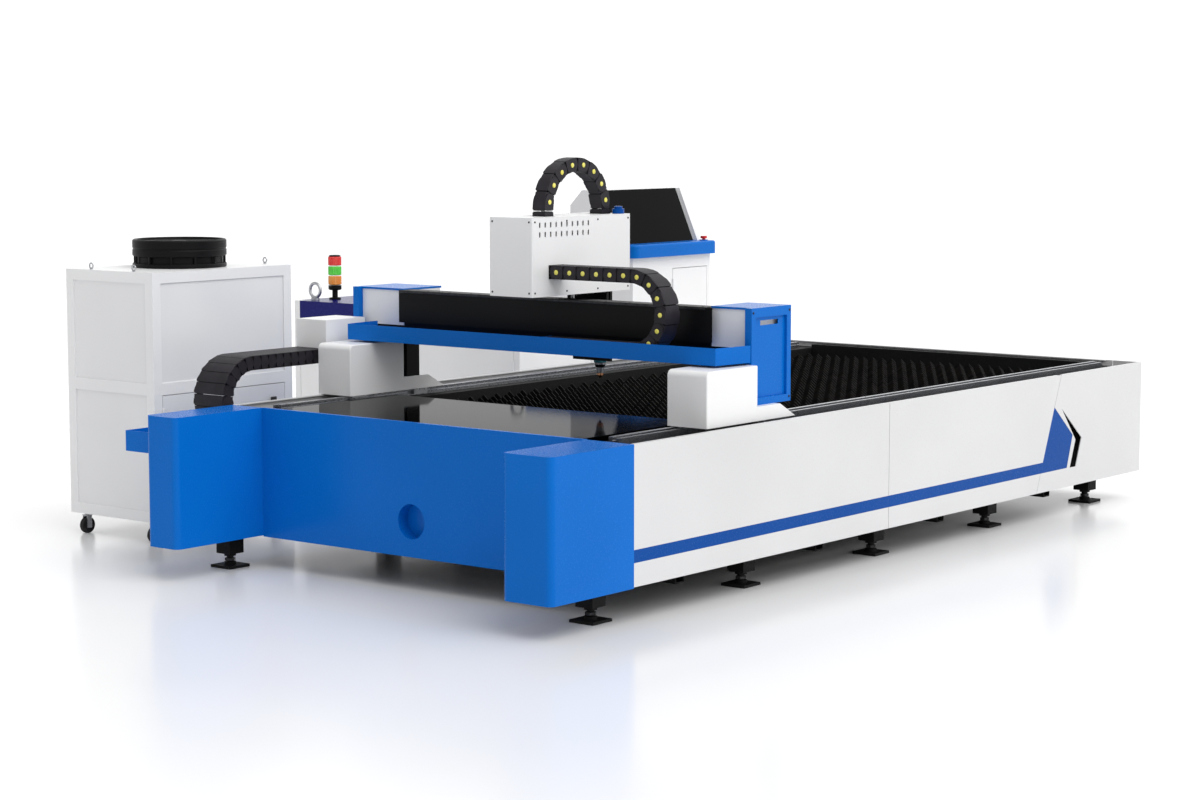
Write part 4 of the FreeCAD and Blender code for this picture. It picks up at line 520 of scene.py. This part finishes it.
# %% Screw rows
def screw_head(radius, axis):
    """Dome of the given radius with a hex-sized recess, standing on the origin: the rim is a
    quarter ellipse, 0.45 radii wide and half a radius high, round a socket."""
    rim = np.linspace(0.0, math.pi / 2, 4)
    socket = [(0.0, radius * 0.12), (radius * 0.42, radius * 0.12), (radius * 0.45, radius * 0.48)]
    dome = [(radius * (0.55 + 0.45 * math.sin(a)), radius * 0.5 * math.cos(a)) for a in rim]
    return turned(socket + dome + [(radius, -0.001)], (0, 0, 0), axis, 12)


def screws(name, body, slot, axis, places, radius, material=SCREW):
    """One head at each place, all in one piece."""
    points, faces = copies(*screw_head(radius, axis), places)
    return make_piece(name, points, faces, [material], body, slot)


def frame_points(low, high, margin, count_a, count_b, fixed, level):
    """Places round the edge of a rectangle: low and high are its two in-plane corners,
    fixed is the axis across it and level the place on that axis."""
    a = np.linspace(low[0] + margin, high[0] - margin, count_a)
    b = np.linspace(low[1] + margin, high[1] - margin, count_b)
    rim = [(x, y) for x in a for y in (b[0], b[-1])] + [(x, y) for y in b[1:-1] for x in (a[0], a[-1])]
    out = np.zeros((len(rim), 3))
    free = [k for k in range(3) if k != fixed]
    out[:, free[0]], out[:, free[1]] = np.array(rim).T
    out[:, fixed] = level
    return out


def corners(node):
    """A node's lowest and highest corners, as arrays."""
    low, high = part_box(node)
    return np.array(low), np.array(high)


HEAD_BOX_HEIGHT = 0.340
SCREW_MARGIN = 0.018
head_low, head_high = corners("head_cover")
head_top = head_low[2] + HEAD_BOX_HEIGHT
for label, axis, fixed, level in (("right", (1, 0, 0), 0, head_high[0]), ("left", (-1, 0, 0), 0, head_low[0]),
                                  ("front", (0, -1, 0), 1, head_low[1])):
    free = [k for k in range(3) if k != fixed]
    panel_low = [head_low[k] for k in free]
    panel_high = [head_high[free[0]], head_top]
    counts = (4, 2) if fixed == 0 else (2, 2)
    screws(f"head_cover_screws_{label}", "carriage", "white_paint", axis,
           frame_points(panel_low, panel_high, SCREW_MARGIN, *counts, fixed, level), 0.0045)

cover_low, cover_high = corners("beam_cover")
cover_x = np.linspace(cover_low[0] + 0.04, cover_high[0] - 0.06, 14)
cover_y = np.full(len(cover_x), cover_low[1] + 0.016)
screws("beam_cover_screws", "gantry", "black_steel", (0, 0, 1),
       np.stack([cover_x, cover_y, np.full(len(cover_x), cover_high[2])], -1), 0.005)

RAIL_BOLT_PITCH = 0.08
rail_low, rail_high = corners("guide_rails")
bolt_y = np.arange(rail_low[1] + 0.03, rail_high[1], RAIL_BOLT_PITCH)
for label, x in (("left", rail_low[0] + 0.010), ("right", rail_high[0] - 0.010)):
    places = np.stack([np.full(len(bolt_y), x), bolt_y, np.full(len(bolt_y), rail_high[2] - 0.0015)], -1)
    screws(f"rail_bolts_{label}", "bed", "rail_steel", (0, 0, 1), places, 0.0055, ZINC)
print("screw rows: 6, with", 2 * len(bolt_y), "rail bolts and", len(cover_x), "beam cover screws")

# %% [markdown]
# ## Signal tower
# Three lens tiers, red over green over amber, on a black tube. Each lens is a turned shape
# whose wall is ribbed: its radius is a cosine of the angle added to a steady one.

# %% Lens tiers
tower_low, tower_high = corners("tower_light")
tower_mid = (tower_low + tower_high) / 2
tower_r = (tower_high[0] - tower_low[0]) / 2


def ribbed(radius, low, high, ribs=24, depth=0.0012, sides=96):
    """Closed lens: rows climb the wall with rounded shoulders, and the radius at angle t is
    radius + depth * cos(ribs * t)."""
    rows = np.array([(0.0, low), (0.90, low), (1.0, low + 0.004),
                     (1.0, high - 0.004), (0.90, high), (0.0, high)])
    t = np.linspace(0.0, 2 * math.pi, sides, endpoint=False)
    r = rows[:, 0, None] * (radius + depth * np.cos(ribs * t)[None])
    points = np.stack([tower_mid[0] + r * np.cos(t), tower_mid[1] + r * np.sin(t),
                       np.repeat(rows[:, 1, None], sides, 1)], -1)
    return points.reshape(-1, 3), grid_faces(len(rows), sides, wrap=True)


LENSES = (("amber", (0.85, 0.25, 0.02), (0.95, 0.38, 0.05)),
          ("green", (0.06, 0.62, 0.03), (0.12, 0.80, 0.06)),
          ("red", (0.75, 0.01, 0.01), (0.90, 0.03, 0.02)))
TIER = 0.055
tier_base = tower_low[2] + 0.081
for k, (label, dark, light) in enumerate(LENSES):
    points, faces = ribbed(tower_r - 0.0014, tier_base + k * TIER + 0.003, tier_base + (k + 1) * TIER - 0.001)
    plastic = coated(f"lens_{label}", dark, light, (0.15, 0.25), 80.0, 0.00002, coat=0.6, drift=30.0)
    make_piece(f"tower_lens_{label}", points, faces, [plastic], "bed", "lamp_plastic")
stem_profile = [(0.0, 0.0), (0.033, 0.0), (0.034, 0.003), (0.034, 0.008), (0.030, 0.011), (0.016, 0.012),
                (0.016, 0.052), (0.030, 0.054), (0.0375, 0.058), (0.0375, 0.080), (0.0, 0.080)]
stem = turned(stem_profile, (tower_mid[0], tower_mid[1], tower_low[2]))
cap = turned([(0.0, 0.0), (0.034, 0.0), (0.034, 0.004), (0.028, 0.0075), (0.0, 0.0078)],
             (tower_mid[0], tower_mid[1], tower_high[2] - 0.008))
tower = make_piece("tower_body", *joined([stem, cap]), [BLACK], "bed", "lamp_plastic")
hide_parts("tower_light")
print("tower lenses:", len(LENSES))

# %% [markdown]
# ## Fan
# The shroud is a turned drum with a rolled rim, on spaced posts above a base ring, and a
# wire guard of rings and spokes over its mouth. The rotor's blades are twisted sheets: the
# pitch angle falls from hub to tip, as on any axial fan.

# %% Shroud
shroud_low, shroud_high = corners("fan_shroud")
fan_mid = (shroud_low + shroud_high) / 2
FAN_OUT = (shroud_high[0] - shroud_low[0]) / 2
base_z, top_z = shroud_low[2], shroud_high[2]
base_ring = [(FAN_OUT - 0.030, 0.0), (FAN_OUT - 0.004, 0.0), (FAN_OUT, 0.004), (FAN_OUT, 0.016),
             (FAN_OUT - 0.004, 0.020), (FAN_OUT - 0.030, 0.020), (FAN_OUT - 0.030, 0.0)]
drum_h = top_z - base_z
drum = [(FAN_OUT - 0.020, 0.0), (FAN_OUT - 0.017, 0.0), (FAN_OUT - 0.017, drum_h - 0.082),
        (FAN_OUT - 0.003, drum_h - 0.078), (FAN_OUT, drum_h - 0.074), (FAN_OUT, drum_h - 0.050),
        (FAN_OUT - 0.003, drum_h - 0.046), (FAN_OUT - 0.003, drum_h - 0.042), (FAN_OUT, drum_h - 0.038),
        (FAN_OUT, drum_h - 0.006), (FAN_OUT - 0.006, drum_h), (FAN_OUT - 0.016, drum_h),
        (FAN_OUT - 0.020, drum_h - 0.010), (FAN_OUT - 0.020, 0.0)]
centre = (fan_mid[0], fan_mid[1], base_z)
POSTS = 12
parts = [turned(base_ring, centre, sides=72), turned(drum, centre, sides=72)]
for k in range(POSTS):
    a = k * math.pi / 6 + 0.12
    x, y = fan_mid[0] + (FAN_OUT - 0.008) * math.cos(a), fan_mid[1] + (FAN_OUT - 0.008) * math.sin(a)
    parts.append(turned([(0.0, 0.0), (0.006, 0.0), (0.006, drum_h - 0.095), (0.0, drum_h - 0.095)],
                        (x, y, base_z + 0.018), sides=10))
make_piece("fan_drum", *joined(parts), [BLACK], "bed", "fan_black")
print("fan drum on", POSTS, "posts, radius", round(FAN_OUT, 3))


# %% Guard
def ring_wire(radius, wire, centre, sides=64, round_steps=8):
    """Torus: a small circle of the wire's radius carried round a large one."""
    t = np.linspace(0, 2 * math.pi, round_steps, endpoint=False)
    profile = np.stack([radius + wire * np.cos(t), wire * np.sin(t)], -1)
    return turned(np.concatenate([profile, profile[:1]]), centre, sides=sides)


SPOKES = 6
guard_z = top_z - 0.012
ring_radii = np.arange(0.045, FAN_OUT - 0.024, 0.0195)
guard = [ring_wire(r, 0.0022, (fan_mid[0], fan_mid[1], guard_z)) for r in ring_radii]
reach = FAN_OUT - 0.020
for k in range(SPOKES):
    a = k * math.pi / SPOKES
    u = np.array([math.cos(a), math.sin(a), 0.0])
    guard.append(turned([(0.0, 0.0), (0.0028, 0.0), (0.0028, 2 * reach), (0.0, 2 * reach)],
                        np.array([fan_mid[0], fan_mid[1], guard_z - 0.004]) - u * reach, tuple(u), 8))
guard.append(turned([(0.0, 0.0), (0.034, 0.0), (0.036, 0.003), (0.030, 0.007), (0.0, 0.008)],
                    (fan_mid[0], fan_mid[1], guard_z - 0.003)))
guard_piece = make_piece("fan_guard", *joined(guard), [BLACK], "bed", "fan_black")
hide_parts("fan_shroud")
print("guard rings:", len(ring_radii), "spokes:", SPOKES)

# %% Rotor
rotor_low, rotor_high = corners("fan_rotor")
rotor_mid = (rotor_low + rotor_high) / 2
BLADES = 7
STATIONS, CHORD_POINTS = 12, 9


def blade(angle, tip):
    """Twisted sheet: at radius r the chord c is laid at a pitch angle that falls from 42 to
    22 degrees, with its rise held under 14 mm, and the sheet is 2.4 mm thick."""
    r = np.linspace(0.036, tip, STATIONS)[:, None]
    c = np.linspace(-1.0, 1.0, CHORD_POINTS)[None]
    share = (r - r.min()) / (r.max() - r.min())
    half = 0.018 + 0.034 * share
    pitch = np.radians(42.0 - 20.0 * share)
    lift = np.clip(half * np.sin(pitch), 0, 0.014) * c + 0.003 * (1 - c * c)
    chord = half * np.cos(pitch) * c
    u = np.array([math.cos(angle), math.sin(angle), 0.0])
    v = np.array([-math.sin(angle), math.cos(angle), 0.0])
    sheet = r[..., None] * u + chord[..., None] * v + lift[..., None] * np.array([0, 0, 1.0])
    top = sheet + (0, 0, 0.0012)
    low = sheet - (0, 0, 0.0012)
    rows = np.concatenate([top, low[:, ::-1]], 1)
    n = 2 * CHORD_POINTS
    faces = grid_faces(STATIONS, n, wrap=True)
    ends = []
    i = np.arange(CHORD_POINTS - 1)
    for row, flip in ((0, False), (STATIONS - 1, True)):
        first = row * n
        quads = np.stack([first + i, first + i + 1, first + n - 2 - i, first + n - 1 - i], -1)
        ends.append(quads[:, ::-1] if flip else quads)
    return (rows + rotor_mid).reshape(-1, 3), np.concatenate([faces] + ends)


tip_r = (rotor_high[0] - rotor_low[0]) / 2
parts = [blade(k * 2 * math.pi / BLADES, tip_r) for k in range(BLADES)]
hub_h = rotor_high[2] - rotor_low[2]
hub = [(0.0, 0.0), (0.038, 0.0), (0.040, 0.002), (0.040, hub_h - 0.006), (0.034, hub_h), (0.0, hub_h)]
parts.append(turned(hub, (rotor_mid[0], rotor_mid[1], rotor_low[2])))
rotor = make_piece("fan_blades", *joined(parts), [MOTOR], "fan", "fan_black")
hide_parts("fan_rotor")
print("fan blades:", BLADES)

# %% [markdown]
# ## Fittings
# The small parts a maker bolts on last: collars and a nozzle sleeve on the cutting head, a
# gland on the head cover, a latch, lock barrels, louvres in the sheets behind, hub rings in
# the wheels, threads on the levelling feet, a lip along the beam cover, lighter than the
# cover as a painted highlight, and the end cap's bolts. Most are turned profiles, because
# most come off a lathe.

# %% Cutting head
laser_low, laser_high = corners("cutting_head")
plate_low, plate_high = corners("z_plate")
AXIS_X = (plate_low[0] + plate_high[0]) / 2
AXIS_Y = laser_high[1] - 0.035
TIP_Z = laser_low[2]


def knurled(radius, low, high, centre, ribs=30, depth=0.0006, sides=120):
    """A grip ring: radius + depth * cos(ribs * angle), with plain chamfered ends."""
    rows = np.array([(radius * 0.93, low), (radius, low + 0.0015),
                     (radius, high - 0.0015), (radius * 0.93, high)])
    t = np.linspace(0.0, 2 * math.pi, sides, endpoint=False)
    wave = np.array([0.0, 1.0, 1.0, 0.0])[:, None] * depth * np.cos(ribs * t)[None]
    r = rows[:, 0, None] + wave
    points = np.stack([centre[0] + r * np.cos(t), centre[1] + r * np.sin(t),
                       np.repeat(rows[:, 1, None], sides, 1)], -1)
    n = len(rows) * sides
    middle = np.array([[centre[0], centre[1], low], [centre[0], centre[1], high]])
    k = np.arange(sides)
    m = (k + 1) % sides
    bottom, top = np.full(sides, n), np.full(sides, n + 1)
    faces = [grid_faces(len(rows), sides, wrap=True), np.stack([m, k, bottom, bottom], -1),
             np.stack([k + n - sides, m + n - sides, top, top], -1)]
    return np.concatenate([points.reshape(-1, 3), middle]), np.concatenate(faces)


spot = (AXIS_X, AXIS_Y)
make_piece("head_collar", *joined([knurled(0.0275, TIP_Z + 0.070, TIP_Z + 0.088, spot),
                                   knurled(0.0365, TIP_Z + 0.205, TIP_Z + 0.225, spot)]), [TEAL], "z_head",
           "head_alloy")
nozzle = turned([(0.0012, 0.0002), (0.0046, -0.0002), (0.0094, 0.0098), (0.0146, 0.0140), (0.0146, 0.0224),
                 (0.0100, 0.0226)], (AXIS_X, AXIS_Y, TIP_Z), sides=40)
make_piece("nozzle_sleeve", *nozzle, [COPPER], "z_head", "head_alloy")
print("nozzle tip at", round(AXIS_X, 3), round(AXIS_Y, 3), round(TIP_Z, 3))

# %% Gland on the head
GLAND = [(0.0, 0.0335), (0.012, 0.0335), (0.0185, 0.0322), (0.0188, 0.0228), (0.0262, 0.0226),
         (0.0268, 0.020), (0.0268, 0.0008), (0.0262, 0.0)]
gland_foot = (head_high[0] - 0.038, head_high[1] - 0.040, head_top)
make_piece("head_gland", *turned(GLAND, gland_foot, sides=36), [STRIPE_BLUE], "carriage", "blue_paint")
print("gland stands on the head at", [round(v, 3) for v in gland_foot])

# %% Latches and locks
door_low, door_high = corners("chiller_door")
face = door_high[0]
latch_y, latch_z = door_high[1] - 0.085, door_high[2] - 0.105
back_plate = rounded_block((face - 0.002, latch_y - 0.019, latch_z - 0.045),
                           (face + 0.006, latch_y + 0.019, latch_z + 0.045), 0.004)
paddle = rounded_block((face + 0.004, latch_y - 0.011, latch_z - 0.030),
                       (face + 0.011, latch_y + 0.011, latch_z + 0.014), 0.003)
knob = turned([(0.0, 0.0095), (0.0075, 0.0095), (0.009, 0.008), (0.009, 0.002)],
              (face, latch_y, latch_z + 0.029), (1, 0, 0), 24)
make_piece("chiller_latch", *joined([back_plate, paddle, knob]), [SCREW], "chiller_door", "black_steel")


def lock_barrel(name, body, place, axis):
    """A round quarter-turn lock: bezel ring, and a barrel set a little behind it."""
    profile = [(0.0, 0.0025), (0.0095, 0.0025), (0.0100, 0.0045), (0.0135, 0.0045), (0.0150, 0.0030),
               (0.0150, -0.001)]
    return make_piece(name, *turned(profile, place, axis, 32), [ZINC], body, "black_steel")


console_low, console_high = corners("console_door")
LOCK_INSET = 0.045
lock_barrel("console_lock", "console_door",
            (console_high[0], console_high[1] - LOCK_INSET, console_high[2] - 0.30), (1, 0, 0))
left_low, left_high = corners("cabinet_door_left")
right_low, right_high = corners("cabinet_door_right")
for k, height in enumerate((0.28, 0.55)):
    lock_barrel(f"cabinet_lock_left_{k}", "cabinet_door_left",
                (left_high[0] - LOCK_INSET, left_low[1], height), (0, -1, 0))
    lock_barrel(f"cabinet_lock_right_{k}", "cabinet_door_right",
                (right_low[0] + LOCK_INSET, right_low[1], height), (0, -1, 0))
print("locks: 5, and a latch on the chiller's door")

# %% Louvres
def louvres(name, centre, outward, width, count, pitch=0.026):
    """Rows of pressed hoods. A hood's section is a quarter ellipse, 9 mm deep at its lower
    lip and back at the sheet 15 mm higher, closed under the lip and carried sideways for the
    given width."""
    n = np.asarray(outward, float)
    t = np.cross(n, (0.0, 0.0, 1.0))
    a = np.linspace(0.0, math.pi / 2, 7)
    hood = np.stack([0.009 * np.cos(a), 0.015 * np.sin(a)], -1)
    section = np.concatenate([[(-0.001, 0.0)], hood, [(-0.001, 0.015)]])
    local, faces = extruded(section, -width / 2, width / 2)
    points = np.asarray(centre, float) + local[:, :1] * n + local[:, 1:2] * (0, 0, 1.0) + local[:, 2:] * t
    rows = np.zeros((count, 3))
    rows[:, 2] = (np.arange(count) - count / 2) * pitch
    return make_piece(name, *copies(points, faces, rows), [WHITE], "bed", "white_paint")


body_low, body_high = corners("console_body")
louvres("console_louvres", (body_low[0], (body_low[1] + body_high[1]) / 2, 0.62), (-1, 0, 0), 0.36, 12)
box_low, box_high = corners("laser_cabinet")
for k, share in enumerate((0.27, 0.73)):
    x = box_low[0] + share * (box_high[0] - box_low[0])
    louvres(f"cabinet_louvres_{k}", (x, box_high[1], 0.46), (0, 1, 0), 0.42, 12)
cooler_low, cooler_high = corners("chiller_panels")
louvres("chiller_louvres", ((cooler_low[0] + cooler_high[0]) / 2, cooler_high[1], 0.99), (0, 1, 0), 0.36, 11)
print("louvre panels: 4")

# %% Wheel caps
HUB = [(0.012, 0.0030), (0.021, 0.0006), (0.0225, 0.0002), (0.0225, -0.002)]
HUB_INSET = 0.0035
for node_name, body in (("wheel_front_left", "front_wheel_left"), ("wheel_front_right", "front_wheel_right")):
    low, high = corners(node_name)
    mid = (low + high) / 2
    caps = [turned(HUB, (high[0] - HUB_INSET, mid[1], mid[2]), (1, 0, 0), 32),
            turned(HUB, (low[0] + HUB_INSET, mid[1], mid[2]), (-1, 0, 0), 32)]
    make_piece(f"{node_name}_cap", *joined(caps), [ZINC], body, "caster_steel")
print("wheels with hub rings: 2")

# %% Threads of the levelling feet
feet_low, feet_high = corners("levelling_feet")
EDGES = 17
thread = np.stack([np.tile([0.0152, 0.0168], 9)[:EDGES], 0.0255 + 0.0012 * np.arange(EDGES)], -1)
thread = np.concatenate([[(0.0148, 0.0245)], thread, [(0.0148, 0.0470)]])
hexagon = [(0.024 * math.cos(a), 0.024 * math.sin(a)) for a in np.arange(6) * math.pi / 3]
FOOT_HALF = 0.060
FEET_PER_ROW = 5
FOOT_PITCH = (feet_high[1] - feet_low[1] - 2 * FOOT_HALF) / (FEET_PER_ROW - 1)
foot_places = [(x, feet_low[1] + FOOT_HALF + k * FOOT_PITCH, 0.0)
               for x in (feet_low[0] + FOOT_HALF, feet_high[0] - FOOT_HALF) for k in range(FEET_PER_ROW)]
one_foot = joined([turned(thread, (0, 0, 0), sides=24), extruded(hexagon, 0.0290, 0.0400)])
make_piece("foot_threads", *copies(*one_foot, foot_places), [SCREW], "bed", "frame_black")
print("feet:", len(foot_places), "pitch", round(FOOT_PITCH, 3))

# %% Lip of the beam cover and bolts of the end cap
# The lip is a thin strip along the cover's top front edge in the lighter black-oxide finish: a painted
# highlight on that edge.
lip = rounded_block((cover_low[0] + 0.002, cover_low[1] - 0.0022, cover_high[2] - 0.011),
                    (cover_high[0] - 0.036, cover_low[1] + 0.006, cover_high[2] + 0.0015), 0.0018)
make_piece("beam_cover_lip_painted_highlight", *lip, [SCREW], "gantry", "black_steel")
cap_low, cap_high = corners("end_caps")
INSET_Y, INSET_Z = 0.012, 0.02
cap_bolts = [(cap_high[0], y, z) for y in (cap_low[1] + INSET_Y, cap_high[1] - INSET_Y)
             for z in (cap_low[2] + INSET_Z, cap_high[2] - INSET_Z)]
screws("end_cap_bolts", "gantry", "blue_paint", (1, 0, 0), cap_bolts, 0.0055)
print("end cap bolts:", len(cap_bolts))

# %% [markdown]
# ## Floor and light
# A plain pale floor with a soft gloss, one broad sun from high on the right, and a pale
# room that is brightest behind the machine and dims towards the viewer, so that the faces
# turned to the front stay a tone darker than the long side.

# %% Floor
FLOOR_HALF = 60.0
floor_points = np.array([(-FLOOR_HALF, -FLOOR_HALF, 0), (FLOOR_HALF, -FLOOR_HALF, 0),
                         (FLOOR_HALF, FLOOR_HALF, 0), (-FLOOR_HALF, FLOOR_HALF, 0)], float)
FLOOR, floor_tree, floor_shader = new_material("studio_floor")
floor_shader.inputs["Base Color"].default_value = (0.95, 0.95, 0.95, 1.0)
floor_gloss = spread(floor_tree, noise(floor_tree, 0.6, 2.0), 0.16, 0.22)
floor_tree.links.new(floor_gloss, floor_shader.inputs["Roughness"])
floor_shader.inputs["Specular IOR Level"].default_value = 0.35
floor = make_piece("floor", floor_points, np.array([[0, 1, 2, 3]]), [FLOOR])

# %% Sun and sky
SUN_FROM = Vector((0.62, -0.10, 0.78))
SUN_SPREAD = math.radians(55.0)
sun = bpy.data.objects.new("sun", bpy.data.lights.new("sun", "SUN"))
sun.data.energy = 1.30
sun.data.angle = SUN_SPREAD
sun.rotation_euler = SUN_FROM.to_track_quat("Z", "Y").to_euler()
bpy.context.scene.collection.objects.link(sun)


def studio_world(bright, dim, axis, low, high):
    """A room whose walls run from dim to bright along an axis: brightness is a ramp over
    the dot product of the view direction and that axis."""
    world = bpy.data.worlds.new("studio")
    world.use_nodes = True
    tree = world.node_tree
    place = tree.nodes.new("ShaderNodeTexCoord")
    dot = tree.nodes.new("ShaderNodeVectorMath")
    dot.operation = "DOT_PRODUCT"
    dot.inputs[1].default_value = axis
    ramp = tree.nodes.new("ShaderNodeMapRange")
    ramp.interpolation_type = "SMOOTHSTEP"
    for label, value in (("From Min", low), ("From Max", high), ("To Min", dim), ("To Max", bright)):
        ramp.inputs[label].default_value = value
    tree.links.new(place.outputs["Generated"], dot.inputs[0])
    tree.links.new(dot.outputs["Value"], ramp.inputs["Value"])
    tree.links.new(ramp.outputs["Result"], tree.nodes["Background"].inputs["Strength"])
    tree.nodes["Background"].inputs["Color"].default_value = (1.0, 1.0, 1.0, 1.0)
    return world


BRIGHT_WALL, DIM_WALL = 1.12, 0.60
BRIGHT_SIDE = (0.30, 0.95, 0.0)
bpy.context.scene.world = studio_world(BRIGHT_WALL, DIM_WALL, BRIGHT_SIDE, -0.35, 0.40)
bpy.context.scene.view_settings.view_transform = "Standard"
print("lamps and world set")
